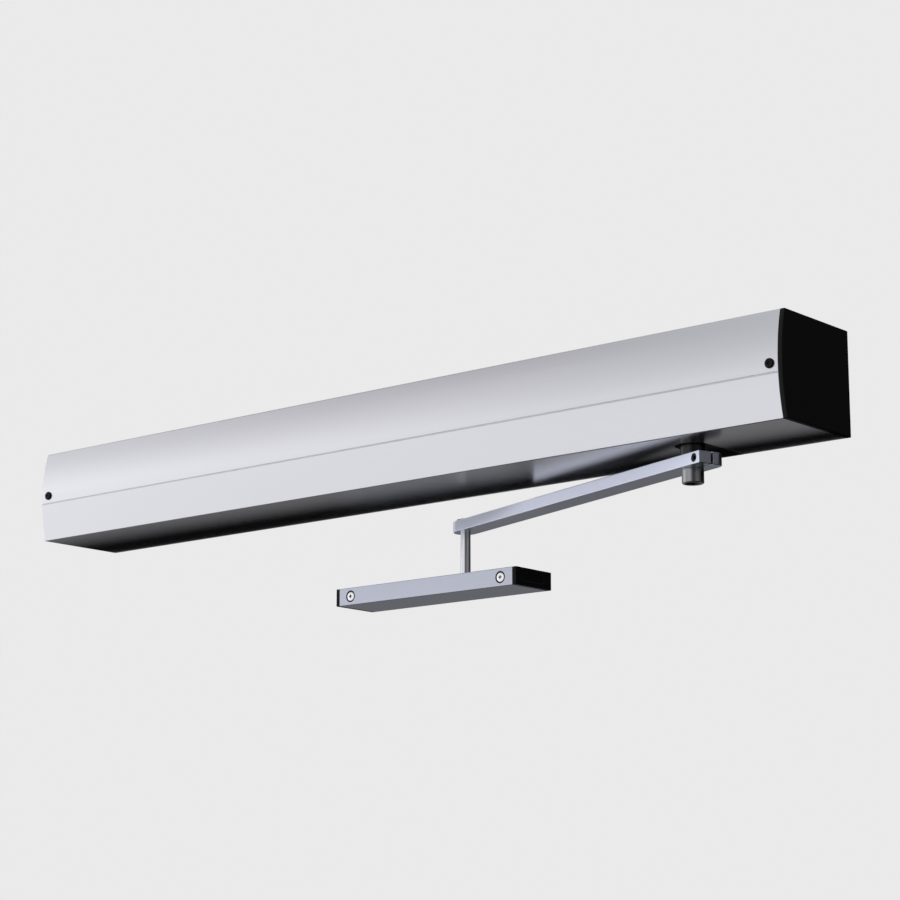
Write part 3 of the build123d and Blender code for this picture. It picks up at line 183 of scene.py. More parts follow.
floor_z = -0.9
floor_reach = 9.0
floor_sides = ((-1, -1), (1, -1), (1, 1), (-1, 1))
floor_corners = [(x * floor_reach, y * floor_reach, floor_z) for x, y in floor_sides]
floor = studio_piece("floor", floor_corners, (0, 1, 2, 3), level=0.8, roughness=0.9, glow=0.5)
floor.visible_diffuse = False
floor.visible_glossy = False

# Dark card: a narrow strip behind the housing's lower back edge, which the underside mirrors, so that it
# fades into shade there. It is dark towards the room only, so the arm behind it doesn't mirror it.
card_left = -0.62
card_right = 0.42
card_y = 0.002
card_top = -0.0435
card_foot_left = -0.07
card_foot_right = -0.055
card_corners = [
    (card_left, card_y, card_top), (card_right, card_y, card_top),
    (card_right, card_y, card_foot_right), (card_left, card_y, card_foot_left),
]
card = studio_piece("dark_card", card_corners, (0, 3, 2, 1), level=0.002, roughness=0.5)
card_tree = card.data.materials[0].node_tree
from_behind = node(card_tree, "ShaderNodeNewGeometry").outputs["Backfacing"]
dark_side = card_tree.nodes["Principled BSDF"].outputs[0]
clear_side = node(card_tree, "ShaderNodeBsdfTransparent").outputs[0]
one_sided = node(card_tree, "ShaderNodeMixShader", Fac=from_behind, _1=dark_side, _2=clear_side)
card_tree.links.new(one_sided.outputs[0], card_tree.nodes["Material Output"].inputs["Surface"])
card.visible_camera = False
card.visible_shadow = False

# Chassis: a folded aluminium plate, mill finished, with fine rolling lines along its length and bright worn
# edges. It goes on the wall and carries every inner piece, and zinc plated screws hold the gearbox and the
# frames to it from the wall side.


def new_group(name, inputs, outputs):
    """A shader node group with its inputs and outputs named; returns it, its input values and its end."""
    group = bpy.data.node_groups.new(name, "ShaderNodeTree")
    for label, kind, value in inputs:
        socket = group.interface.new_socket(name=label, in_out="INPUT", socket_type="NodeSocket" + kind)
        if value is not None:
            socket.default_value = value
    for label, kind in outputs:
        group.interface.new_socket(name=label, in_out="OUTPUT", socket_type="NodeSocket" + kind)
    return group, group.nodes.new("NodeGroupInput").outputs, group.nodes.new("NodeGroupOutput").inputs


# Grain: fine noise, which a stretch draws out along one axis, and a large soft cloud.
grain_group, given, last = new_group(
    "grain",
    [
        ("Vector", "Vector", None), ("Stretch", "Vector", (1, 1, 1)), ("Scale", "Float", 400.0),
        ("Detail", "Float", 3.0),
    ],
    [("Height", "Float"), ("Cloud", "Float")],
)
stretched = node(
    grain_group, "ShaderNodeVectorMath", operation="MULTIPLY", _0=given["Vector"], _1=given["Stretch"]
)
fine = node(
    grain_group, "ShaderNodeTexNoise", Vector=stretched.outputs[0], Scale=given["Scale"],
    Detail=given["Detail"], Roughness=0.6,
)
cloud = node(grain_group, "ShaderNodeTexNoise", Vector=given["Vector"], Scale=14.0, Detail=4.0)
grain_group.links.new(fine.outputs["Fac"], last["Height"])
grain_group.links.new(cloud.outputs["Fac"], last["Cloud"])

# Edge wear: normals rounded over the edges, and a patchy mask where these turn away from the flat ones.
edge_group, given, last = new_group(
    "edge_wear",
    [("Radius", "Float", 0.0005), ("Vector", "Vector", None)],
    [("Normal", "Vector"), ("Mask", "Float")],
)
rounded = node(edge_group, "ShaderNodeBevel", samples=6, Radius=given["Radius"]).outputs[0]
flat = node(edge_group, "ShaderNodeNewGeometry").outputs["Normal"]
agree = node(edge_group, "ShaderNodeVectorMath", operation="DOT_PRODUCT", _0=rounded, _1=flat)
bare = node(edge_group, "ShaderNodeMapRange", Value=agree.outputs["Value"], From_Min=0.97, From_Max=0.72)
patches = node(edge_group, "ShaderNodeTexNoise", Vector=given["Vector"], Scale=260.0, Detail=3.0)
patchy = node(edge_group, "ShaderNodeMapRange", Value=patches.outputs["Fac"], From_Min=0.38, From_Max=0.62)
rubbed = node(
    edge_group, "ShaderNodeMath", operation="MULTIPLY", _0=bare.outputs["Result"], _1=patchy.outputs["Result"]
)
edge_group.links.new(rounded, last["Normal"])
edge_group.links.new(rubbed.outputs[0], last["Mask"])


def finish(
    name, colour, rough, metal=0.0, stretch=(1, 1, 1), scale=400, detail=3.0, depth_mm=0.0, spread=0.06,
    tone=0.08, edge=0.0004, worn=None, specular=0.5, coat=0.0, painted_shade_reach=0.0,
):
    """One finish of this object as a material.

    Stretch, scale, detail and depth_mm shape its grain, and spread is how far the grain moves the roughness.
    Tone is how far soft clouds move the colour. Edges look rounded by the radius edge, and show the worn
    colour if there is one. A coat lies over all, and painted shade darkens hollows within the given reach.
    """
    made = bpy.data.materials.new(name)
    made.use_nodes = True
    made.diffuse_color = (*colour, 1)
    tree = made.node_tree
    place = node(tree, "ShaderNodeTexCoord").outputs["Object"]
    grain = node(
        tree, "ShaderNodeGroup", node_tree=grain_group, Vector=place, Stretch=stretch, Scale=scale,
        Detail=detail,
    ).outputs
    wear = node(tree, "ShaderNodeGroup", node_tree=edge_group, Radius=edge, Vector=place).outputs
    darker = [part * (1 - tone) for part in colour]
    lighter = [min(1, part * (1 + tone)) for part in colour]
    base = mixed(tree, grain["Cloud"], (*darker, 1), (*lighter, 1))
    if worn:
        base = mixed(tree, wear["Mask"], base, (*worn, 1))
    # Painted shade: ambient occlusion finds the hollows, and their colour is darkened towards near black
    # there.
    if painted_shade_reach:
        painted_shade_colour = (0.004, 0.004, 0.004, 1)
        shade = node(tree, "ShaderNodeAmbientOcclusion", samples=8, Distance=painted_shade_reach)
        unshaded_share = node(tree, "ShaderNodeMapRange", Value=shade.outputs["AO"], From_Min=0.35, From_Max=0.85)
        base = mixed(tree, unshaded_share.outputs["Result"], painted_shade_colour, base)
    gloss = node(
        tree, "ShaderNodeMapRange", Value=grain["Height"], To_Min=max(0.02, rough - spread),
        To_Max=min(1, rough + spread),
    )
    normal = wear["Normal"]
    if depth_mm:
        normal = node(
            tree, "ShaderNodeBump", Height=grain["Height"], Normal=normal, Strength=1.0,
            Distance=depth_mm / 1000,
        ).outputs[0]
    shader = tree.nodes["Principled BSDF"]
    shader.inputs["Metallic"].default_value = metal
    shader.inputs["Specular IOR Level"].default_value = specular
    if coat:
        shader.inputs["Coat Weight"].default_value = coat
        shader.inputs["Coat Roughness"].default_value = 0.12
    tree.links.new(base, shader.inputs["Base Color"])
    tree.links.new(gloss.outputs["Result"], shader.inputs["Roughness"])
    tree.links.new(normal, shader.inputs["Normal"])
    return made


def grey(level):
    """A colour without a hue."""
    return (level, level, level)


def dress(material, *names):
    """Give these CAD nodes this material."""
    for name in names:
        slots = nodes[name].data.materials
        slots.clear()
        slots.append(material)


chassis_aluminium = finish(
    "chassis_aluminium", (0.62, 0.63, 0.64), rough=0.38, metal=1.0, stretch=(1, 14, 14), scale=160,
    depth_mm=0.02, spread=0.1, tone=0.06, worn=grey(0.8),
)
dress(chassis_aluminium, "base_plate")
zinc_sheet = finish(
    "zinc_sheet", (0.6, 0.61, 0.62), rough=0.3, metal=1.0, stretch=(3, 1, 1), scale=260, depth_mm=0.01,
    spread=0.12, tone=0.1, edge=0.0003, worn=grey(0.8),
)
dress(zinc_sheet, "chassis_screws")

# Gearbox: a case of die cast aluminium with a sandy skin, screwed to the chassis, and a lid on four small
# screws. The spindle turns in two ground steel rings, in the lid and in a cast bracket below, and the idler
# shafts turn in sintered bronze bushes.
cast_aluminium = finish(
    "cast_aluminium", (0.5, 0.51, 0.52), rough=0.52, metal=1.0, scale=900, depth_mm=0.08, spread=0.12,
    tone=0.08, edge=0.0008, worn=(0.75, 0.75, 0.76),
)
dress(cast_aluminium, "gearbox_case", "gearbox_lid", "bearing_bracket")
dress(zinc_sheet, "small_screws")
bearing_steel = finish(
    "bearing_steel", (0.72, 0.73, 0.75), rough=0.14, metal=1.0, stretch=(1, 1, 30), scale=300,
    depth_mm=0.005, spread=0.05, tone=0.04, edge=0.0005,
)
dress(bearing_steel, "spindle_top_bearing", "spindle_bottom_bearing")
bronze = finish(
    "bronze", (0.55, 0.36, 0.16), rough=0.4, metal=1.0, scale=1500, depth_mm=0.03, spread=0.1, tone=0.12,
    worn=(0.75, 0.55, 0.3),
)
dress(bronze, "shaft_bushes")

# Gear train: hobbed steel wheels pressed on ground steel shafts that have the pinions cut on them, lightly
# oiled. Two idlers slow the motor's turn down for the large wheel on the spindle.
gear_steel = finish(
    "gear_steel", (0.42, 0.42, 0.44), rough=0.32, metal=1.0, stretch=(1, 1, 12), scale=500, depth_mm=0.02,
    spread=0.12, tone=0.14, edge=0.0003, worn=(0.7, 0.7, 0.72), coat=0.3,
)
dress(
    gear_steel, "output_wheel", "low_idler_shaft", "low_idler_wheel", "high_idler_shaft", "high_idler_wheel",
    "motor_pinion",
)
shaft_steel = finish(
    "shaft_steel", (0.58, 0.59, 0.6), rough=0.22, metal=1.0, stretch=(1, 1, 40), scale=300, depth_mm=0.008,
    spread=0.08, tone=0.05,
)
dress(shaft_steel, "spindle")

# Motor: a black painted can on a cast flange, with a stack of steel sheets inside it. Twelve coils of
# enamelled copper wire, each wound on its own tooth of the stack, stand around the rotor.
dress(cast_aluminium, "motor_flange")
dress(shaft_steel, "motor_rotor")
motor_black = finish(
    "motor_black", (0.018, 0.018, 0.02), rough=0.35, scale=700, depth_mm=0.02, spread=0.08, tone=0.1,
    edge=0.0006, worn=grey(0.4),
)
dress(motor_black, "motor_case")
lamination = finish(
    "lamination", (0.2, 0.2, 0.22), rough=0.5, metal=1.0, stretch=(0.2, 0.2, 60), scale=60, depth_mm=0.1,
    spread=0.1, tone=0.1, edge=0.0003,
)
dress(lamination, "motor_stator")
copper = finish(
    "copper", (0.62, 0.22, 0.09), rough=0.25, metal=1.0, scale=1800, depth_mm=0.02, spread=0.1, tone=0.15,
    edge=0.0003, coat=0.5,
)
dress(copper, "motor_windings")


def geometry_tree(name, *inputs):
    """A Geometry Nodes tree with the inputs named; returns it, its input values and where it ends."""
    tree = bpy.data.node_groups.new(name, "GeometryNodeTree")
    tree.interface.new_socket(name="Geometry", in_out="INPUT", socket_type="NodeSocketGeometry")
    tree.interface.new_socket(name="Geometry", in_out="OUTPUT", socket_type="NodeSocketGeometry")
    for label, kind in (*inputs, ("Material", "Material")):
        tree.interface.new_socket(name=label, in_out="INPUT", socket_type="NodeSocket" + kind)
    return tree, tree.nodes.new("NodeGroupInput").outputs, tree.nodes.new("NodeGroupOutput").inputs


def vector(tree, x=0.0, y=0.0, z=0.0):
    """A vector from three numbers or sockets."""
    return node(tree, "ShaderNodeCombineXYZ", X=x, Y=y, Z=z).outputs[0]


def result(tree, operation, first, second=0.0):
    """The result of one arithmetic operation on numbers or sockets."""
    return node(tree, "ShaderNodeMath", operation=operation, _0=first, _1=second).outputs[0]


def end_tree(tree, geometry, material, last):
    """Realize the instances, give them the material and end the tree."""
    whole = node(tree, "GeometryNodeRealizeInstances", Geometry=geometry)
    coated = node(tree, "GeometryNodeSetMaterial", Geometry=whole.outputs[0], Material=material)
    tree.links.new(coated.outputs[0], last["Geometry"])


weld_distance = 1e-6
sharp_angle = math.radians(35)


def grow(name, tree, body, slot, points=((0, 0, 0),), **sizes):
    """Run a tree on points and keep what it makes as one plain mesh that rides on a body."""
    seed_mesh = bpy.data.meshes.new(name + "_points")
    seed_mesh.from_pydata([tuple(point) for point in points], [], [])
    piece = bpy.data.objects.new(name, seed_mesh)
    scene.collection.objects.link(piece)
    modifier = piece.modifiers.new("grow", "NODES")
    modifier.node_group = tree
    for item in tree.interface.items_tree:
        label = item.name.replace(" ", "_")
        if item.in_out == "INPUT" and label in sizes:
            modifier[item.identifier] = sizes[label]
    bpy.context.view_layer.update()
    made = bpy.data.meshes.new_from_object(piece.evaluated_get(bpy.context.evaluated_depsgraph_get()))
    piece.modifiers.clear()
    piece.data = made
    made.name = name
    shell = bmesh.new()
    shell.from_mesh(made)
    bmesh.ops.remove_doubles(shell, verts=shell.verts, dist=weld_distance)
    bmesh.ops.recalc_face_normals(shell, faces=shell.faces)
    shell.to_mesh(made)
    shell.free()
    made.shade_smooth()
    made.set_sharp_from_angle(angle=sharp_angle)
    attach(piece, body)
    return piece


coils_tree, given, last = geometry_tree(
    "tooth_coils", ("Coils", "Int"), ("Turns", "Int"), ("Ring Radius", "Float"), ("Turn Step", "Float"),
    ("Width", "Float"), ("Height", "Float"), ("Corner Radius", "Float"), ("Wire Radius", "Float"),
    ("Centre", "Vector"),
)
loop = node(
    coils_tree, "GeometryNodeCurvePrimitiveQuadrilateral", Width=given["Width"], Height=given["Height"]
)
bent = node(
    coils_tree, "GeometryNodeFilletCurve", mode="POLY", Curve=loop.outputs[0], Count=3,
    Radius=given["Corner Radius"],
)
wire = node(coils_tree, "GeometryNodeCurvePrimitiveCircle", Resolution=6, Radius=given["Wire Radius"])
turn = node(coils_tree, "GeometryNodeCurveToMesh", Curve=bent.outputs[0], Profile_Curve=wire.outputs[0])
upright = node(
    coils_tree, "GeometryNodeTransform", Geometry=turn.outputs[0], Rotation=(math.pi / 2, 0, math.pi / 2)
)
row = node(
    coils_tree, "GeometryNodeMeshLine", Count=given["Turns"],
    Start_Location=vector(coils_tree, given["Ring Radius"]), Offset=vector(coils_tree, given["Turn Step"]),
)
coil = node(coils_tree, "GeometryNodeInstanceOnPoints", Points=row.outputs[0], Instance=upright.outputs[0])
ring = node(coils_tree, "GeometryNodeMeshLine", Count=given["Coils"], Offset=(0, 0, 0))
number = node(coils_tree, "GeometryNodeInputIndex").outputs[0]
share = result(coils_tree, "DIVIDE", number, given["Coils"])
coils = node(
    coils_tree, "GeometryNodeInstanceOnPoints", Points=ring.outputs[0], Instance=coil.outputs[0],
    Rotation=vector(coils_tree, z=result(coils_tree, "MULTIPLY", share, math.tau)),
)
placed = node(coils_tree, "GeometryNodeTransform", Geometry=coils.outputs[0], Translation=given["Centre"])
end_tree(coils_tree, placed.outputs[0], given["Material"], last)

low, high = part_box("motor_windings")
winding_wire = 0.00045
windings = grow(
    "tooth_windings", coils_tree, "housing", "copper", Coils=12, Turns=5, Ring_Radius=0.0164,
    Turn_Step=0.00095, Width=0.0044, Height=high.z - low.z - 2 * winding_wire, Corner_Radius=0.001,
    Wire_Radius=winding_wire, Centre=tuple((low + high) / 2), Material=copper,
)
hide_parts("motor_windings")

# Closing spring: oil tempered wire, coiled cold with its ends closed, on a ground guide rod in a cast frame.
# It pushes a toothed rack along, and the rack turns the spindle back through a pinion on it.
dress(cast_aluminium, "spring_frame")
dress(shaft_steel, "spring_guide_rod")
dress(gear_steel, "spring_rack", "spring_pinion")
spring_steel = finish(
    "spring_steel", (0.14, 0.145, 0.16), rough=0.3, metal=1.0, scale=900, depth_mm=0.02, spread=0.1,
    tone=0.15, edge=0.0003, worn=(0.4, 0.4, 0.42), coat=0.2,
)
dress(spring_steel, "closing_spring")
spring_tree, given, last = geometry_tree(
    "coil_spring", ("Radius", "Float"), ("Wire Radius", "Float"), ("Length", "Float"), ("Turns", "Float"),
    ("End Closing", "Float"), ("Start", "Vector"),
)
helix = node(
    spring_tree, "GeometryNodeCurveSpiral", Resolution=32, Rotations=given["Turns"],
    Start_Radius=given["Radius"], End_Radius=given["Radius"], Height=given["Length"],
)
position = node(spring_tree, "GeometryNodeInputPosition").outputs[0]
height = node(spring_tree, "ShaderNodeSeparateXYZ", _0=position).outputs["Z"]
share = result(spring_tree, "DIVIDE", height, given["Length"])
eased = node(spring_tree, "ShaderNodeMapRange", interpolation_type="SMOOTHSTEP", Value=share)
gain = result(spring_tree, "SUBTRACT", eased.outputs["Result"], share)
gain = result(spring_tree, "MULTIPLY", gain, given["End Closing"])
shift = vector(spring_tree, z=result(spring_tree, "MULTIPLY", gain, given["Length"]))
spaced = node(spring_tree, "GeometryNodeSetPosition", Geometry=helix.outputs[0], Offset=shift)
wire = node(spring_tree, "GeometryNodeCurvePrimitiveCircle", Resolution=10, Radius=given["Wire Radius"])
coil = node(
    spring_tree, "GeometryNodeCurveToMesh", Curve=spaced.outputs[0], Profile_Curve=wire.outputs[0],
    Fill_Caps=True,
)
lying = node(
    spring_tree, "GeometryNodeTransform", Geometry=coil.outputs[0], Translation=given["Start"],
    Rotation=(0, math.pi / 2, 0),
)
end_tree(spring_tree, lying.outputs[0], given["Material"], last)

low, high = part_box("closing_spring")
spring_wire = 0.0014
coil_spring = grow(
    "coil_spring", spring_tree, "housing", "spring_steel", Radius=(high.z - low.z) / 2 - spring_wire,
    Wire_Radius=spring_wire, Length=high.x - low.x - 2 * spring_wire, Turns=15.0, End_Closing=0.55,
    Start=(low.x + spring_wire, (low.y + high.y) / 2, (low.z + high.z) / 2), Material=spring_steel,
)
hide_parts("closing_spring")
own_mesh(coil_spring)

# Control board: lacquered glass fibre on bronze standoffs, with moulded relays and terminals, sleeved
# capacitors, small black chips and a finned heat sink of black anodised aluminium soldered on. The position
# sensor over the spindle is a moulded black case of its own.
circuit_green = finish(
    "circuit_green", (0.012, 0.13, 0.05), rough=0.28, scale=700, depth_mm=0.03, spread=0.06, tone=0.3,
    edge=0.0002, worn=(0.5, 0.45, 0.3), coat=0.4,
)
dress(circuit_green, "control_board")
dress(bronze, "board_standoffs")
part_black = finish(
    "part_black", grey(0.02), rough=0.45, scale=1200, depth_mm=0.03, spread=0.08, tone=0.1, edge=0.0005
)
dress(part_black, "board_relays", "position_sensor")
terminal_green = finish(
    "terminal_green", (0.02, 0.24, 0.07), rough=0.35, scale=900, depth_mm=0.02, spread=0.06, tone=0.1
)
dress(terminal_green, "board_terminals")
capacitor_sleeve = finish(
    "capacitor_sleeve", (0.02, 0.025, 0.08), rough=0.2, scale=500, depth_mm=0.01, spread=0.04, tone=0.08,
    edge=0.0006, coat=0.4,
)
dress(capacitor_sleeve, "board_capacitors")
heatsink_black = finish(
    "heatsink_black", grey(0.03), rough=0.4, metal=1.0, stretch=(20, 1, 1), scale=300, depth_mm=0.02,
    spread=0.08, tone=0.1, edge=0.0003, worn=grey(0.5),
)
dress(heatsink_black, "board_heatsink")
chip_tree, given, last = geometry_tree(
    "small_chips", ("Centre", "Vector"), ("Length", "Float"), ("Width", "Float"), ("Spacing", "Float"),
    ("Chip", "Vector"), ("Seed", "Int"),
)
patch = node(
    chip_tree, "GeometryNodeMeshGrid", Size_X=given["Length"], Size_Y=given["Width"], Vertices_X=2,
    Vertices_Y=2,
)
spots = node(
    chip_tree, "GeometryNodeDistributePointsOnFaces", distribute_method="POISSON", Mesh=patch.outputs[0],
    Distance_Min=given["Spacing"], Density_Max=90000.0, Seed=given["Seed"],
)
block = node(chip_tree, "GeometryNodeMeshCube", Size=given["Chip"])
smallest = (0.6, 0.7, 0.8)
largest = (1.5, 1.4, 1.6)
varied = node(
    chip_tree, "FunctionNodeRandomValue", data_type="FLOAT_VECTOR", _0=smallest, _1=largest,
    Seed=given["Seed"],
)
chips = node(
    chip_tree, "GeometryNodeInstanceOnPoints", Points=spots.outputs[0], Instance=block.outputs[0],
    Scale=varied.outputs[0],
)
upright = node(
    chip_tree, "GeometryNodeTransform", Geometry=chips.outputs[0], Translation=given["Centre"],
    Rotation=(math.pi / 2, 0, 0),
)
end_tree(chip_tree, upright.outputs[0], given["Material"], last)

low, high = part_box("control_board")
chip_height = 0.001
chip_sink = 0.0001
chip_row_x = low.x + 0.074
chip_row_z = low.z + 0.0215
grow(
    "board_chips", chip_tree, "housing", "part_black",
    Centre=(chip_row_x, low.y - chip_height / 2 + chip_sink, chip_row_z), Length=0.1, Width=0.012,
    Spacing=0.0042, Chip=(0.0022, 0.0014, chip_height), Seed=7, Material=part_black,
)

# Supply: a transformer and a small board in a folded tray of zinc plated sheet on the chassis, under a
# slotted cover of the same sheet. A moulded mains terminal stands beside it.
dress(zinc_sheet, "supply_tray", "supply_cover")
dress(lamination, "supply_transformer")
dress(circuit_green, "supply_board")
terminal_cream = finish(
    "terminal_cream", (0.68, 0.65, 0.55), rough=0.4, scale=900, depth_mm=0.02, spread=0.06, tone=0.05,
    edge=0.0005,
)
dress(terminal_cream, "mains_terminal")

# Cable inlet and leads: a moulded rubber grommet snapped into the chassis, and three leads with black plastic
# insulation, from the mains terminal to the supply, on to the board and from there to the motor.
grommet_rubber = finish(
    "grommet_rubber", grey(0.015), rough=0.7, scale=1200, depth_mm=0.05, spread=0.1, tone=0.15, edge=0.0008
)
dress(grommet_rubber, "cable_grommet")
lead_insulation = finish(
    "lead_insulation", (0.015, 0.015, 0.016), rough=0.35, stretch=(1, 12, 12), scale=300, depth_mm=0.02,
    spread=0.06, tone=0.1, edge=0.0005,
)
dress(lead_insulation, "wiring")

# Cover: one extruded aluminium shell with a satin silver skin, set over the chassis from the front. A black
# screw with a crossed recess near each end holds it to the end cap there.
cover_paint = finish(
    "cover_paint", (0.79, 0.79, 0.815), rough=0.27, metal=0.95, stretch=(1, 30, 30), scale=60, detail=4.0,
    spread=0.005, tone=0.004, edge=0.0007,
)
dress(cover_paint, "front_cover")
black_screw = finish(
    "black_screw", grey(0.003), rough=0.3, scale=600, depth_mm=0.01, spread=0.08, tone=0.1, worn=grey(0.03),
    specular=0.2,
)
dress(black_screw, "cover_screws")
screw_tree, given, last = geometry_tree(
    "cross_screws", ("Head Radius", "Float"), ("Head Height", "Float"), ("Crown", "Float"),
    ("Shank Radius", "Float"), ("Length", "Float"), ("Cross Length", "Float"), ("Cross Width", "Float"),
    ("Cross Depth", "Float"), ("Turn", "Vector"),
)
# The head is a sheet wrapped into a closed dome. Its X goes around, and its Y goes from the top over the rim
# to the middle of the flat seat.
sheet = node(screw_tree, "GeometryNodeMeshGrid", Size_X=1.0, Size_Y=1.0, Vertices_X=41, Vertices_Y=17)
position = node(screw_tree, "GeometryNodeInputPosition").outputs[0]
spot = node(screw_tree, "ShaderNodeSeparateXYZ", _0=position).outputs
around = result(screw_tree, "MULTIPLY", spot["X"], math.tau)
down = result(screw_tree, "MULTIPLY", result(screw_tree, "ADD", spot["Y"], 0.5), math.pi)
reach = result(screw_tree, "POWER", result(screw_tree, "SINE", down), given["Crown"])
reach = result(screw_tree, "MULTIPLY", reach, given["Head Radius"])
lift = result(screw_tree, "MAXIMUM", result(screw_tree, "COSINE", down), 0.0)
lift = result(screw_tree, "POWER", lift, given["Crown"])
dome = vector(
    screw_tree,
    x=result(screw_tree, "MULTIPLY", reach, result(screw_tree, "COSINE", around)),
    y=result(screw_tree, "MULTIPLY", reach, result(screw_tree, "SINE", around)),
    z=result(screw_tree, "MULTIPLY", lift, given["Head Height"]),
)
wrapped = node(screw_tree, "GeometryNodeSetPosition", Geometry=sheet.outputs[0], Position=dome)
head = node(screw_tree, "GeometryNodeMergeByDistance", Geometry=wrapped.outputs[0], Distance=0.000004)
cross = node(screw_tree, "GeometryNodeJoinGeometry")
for long, wide in (("Cross Length", "Cross Width"), ("Cross Width", "Cross Length")):
    deep = result(screw_tree, "MULTIPLY", given["Cross Depth"], 2.0)
    bar = node(screw_tree, "GeometryNodeMeshCube", Size=vector(screw_tree, given[long], given[wide], deep))
    raised = node(
        screw_tree, "GeometryNodeTransform", Geometry=bar.outputs[0],
        Translation=vector(screw_tree, z=given["Head Height"]),
    )
    screw_tree.links.new(raised.outputs[0], cross.inputs[0])
cut = node(
    screw_tree, "GeometryNodeMeshBoolean", operation="DIFFERENCE", solver="EXACT", Mesh_1=head.outputs[0],
    Mesh_2=cross.outputs[0], Self_Intersection=True,
)
rod = node(
    screw_tree, "GeometryNodeMeshCylinder", Vertices=24, Radius=given["Shank Radius"], Depth=given["Length"]
)
sunk_share = -0.499
sunk = node(
    screw_tree, "GeometryNodeTransform", Geometry=rod.outputs[0],
    Translation=vector(screw_tree, z=result(screw_tree, "MULTIPLY", given["Length"], sunk_share)),
)
screw = node(screw_tree, "GeometryNodeJoinGeometry", Geometry=cut.outputs[0])
screw_tree.links.new(sunk.outputs[0], screw.inputs[0])
screws = node(
    screw_tree, "GeometryNodeInstanceOnPoints", Points=given["Geometry"], Instance=screw.outputs[0],
    Rotation=given["Turn"],
)
end_tree(screw_tree, screws.outputs[0], given["Material"], last)


def screw_seats(node_name, head_radius, head_height):
    """Where the two screws of a CAD node sit: the middle of each head, on the face that carries it."""
    low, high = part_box(node_name)
    middle_z = (low.z + high.z) / 2
    return [(x, low.y + head_height, middle_z) for x in (low.x + head_radius, high.x - head_radius)]


to_room = (math.pi / 2, 0, 0)
cover_head_radius = 0.004
cover_head_height = 0.0018
cover_screws = grow(
    "cover_cross_screws", screw_tree, "housing", "black_screw",
    screw_seats("cover_screws", cover_head_radius, cover_head_height), Head_Radius=cover_head_radius,
    Head_Height=cover_head_height, Crown=0.5, Shank_Radius=0.002, Length=0.012, Cross_Length=0.0042,
    Cross_Width=0.001, Cross_Depth=0.0012, Turn=to_room, Material=black_screw,
)
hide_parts("cover_screws")

# End caps: matt black mouldings that close the cover's ends, each held to the chassis by two zinc plated
# screws. A flat strip of the same black closes the slot below, around the spindle's collar.
cap_black = finish(
    "cap_black", grey(0.0065), rough=0.5, scale=1300, depth_mm=0.05, spread=0.1, tone=0.1, edge=0.0008,
    specular=0.16,
)
dress(cap_black, "left_end_cap", "right_end_cap", "slot_cover")
dress(zinc_sheet, "cap_screws")

# Program switch: a rocker of glossy black plastic that tips in a moulded body, which is snapped into the
# left cap.
switch_black = finish(
    "switch_black", grey(0.012), rough=0.25, scale=800, depth_mm=0.01, spread=0.06, tone=0.1, edge=0.0006
)
dress(switch_black, "switch_body", "switch_rocker")

# Spindle fittings: a blackened steel collar above the arm's hub and a turned steel sleeve nut below it, both
# on the spindle's end. A thread is cut inside the sleeve.
dark_steel = finish(
    "dark_steel", grey(0.05), rough=0.3, metal=1.0, stretch=(1, 1, 30), scale=300, depth_mm=0.015, spread=0.1,
    tone=0.1, edge=0.0006, worn=grey(0.3),
)
dress(dark_steel, "spindle_collar")
sleeve_steel = finish(
    "sleeve_steel", grey(0.3), rough=0.2, metal=1.0, stretch=(1, 1, 30), scale=300, spread=0.03, tone=0.05,
    edge=0.0006, worn=grey(0.5),
)
dress(sleeve_steel, "spindle_sleeve")
thread_tree, given, last = geometry_tree(
    "thread", ("Radius", "Float"), ("Pitch", "Float"), ("Turns", "Float"), ("Depth", "Float"),
    ("Start", "Vector"),
)
helix = node(
    thread_tree, "GeometryNodeCurveSpiral", Resolution=32, Rotations=given["Turns"],
    Start_Radius=given["Radius"], End_Radius=given["Radius"],
    Height=result(thread_tree, "MULTIPLY", given["Pitch"], given["Turns"]),
)
ridge = node(thread_tree, "GeometryNodeCurvePrimitiveCircle", Resolution=3, Radius=given["Depth"])
wound = node(
    thread_tree, "GeometryNodeCurveToMesh", Curve=helix.outputs[0], Profile_Curve=ridge.outputs[0],
    Fill_Caps=True,
)
placed = node(thread_tree, "GeometryNodeTransform", Geometry=wound.outputs[0], Translation=given["Start"])
end_tree(thread_tree, placed.outputs[0], given["Material"], last)

low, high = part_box("spindle_sleeve")
thread_inset = 0.0002
grow(
    "sleeve_thread", thread_tree, "swing_arm", "dark_steel", Radius=0.00605, Pitch=0.001, Turns=4.0,
    Depth=0.0004, Start=((low.x + high.x) / 2, (low.y + high.y) / 2, low.z + thread_inset),
    Material=dark_steel,
)

# Arm: a flat bar of drawn aluminium, anodised, with lines along it. Its split hub is clamped on the spindle
# by one black screw.
arm_aluminium = finish(
    "arm_aluminium", (0.58, 0.61, 0.69), rough=0.3, metal=1.0, stretch=(1, 30, 30), scale=80, depth_mm=0.006,
    spread=0.06, tone=0.04, edge=0.0006,
)
dress(arm_aluminium, "arm")
dress(black_screw, "arm_clamp_screw")

# Slide rod and slide block: a ground and chromed steel rod hangs from the arm's end, kept there by a dark
# clip ring on top. It carries a moulded acetal block that runs in the rail.
rod_chrome = finish(
    "rod_chrome", (0.72, 0.73, 0.75), rough=0.09, metal=1.0, stretch=(1, 1, 50), scale=260, depth_mm=0.004,
    spread=0.05, tone=0.03,
)
dress(rod_chrome, "slide_rod")
dress(dark_steel, "rod_clip")
slider_plastic = finish(
    "slider_plastic", (0.75, 0.75, 0.7), rough=0.45, scale=900, depth_mm=0.02, spread=0.06, tone=0.05,
    edge=0.0005,
)
dress(slider_plastic, "slide_block")

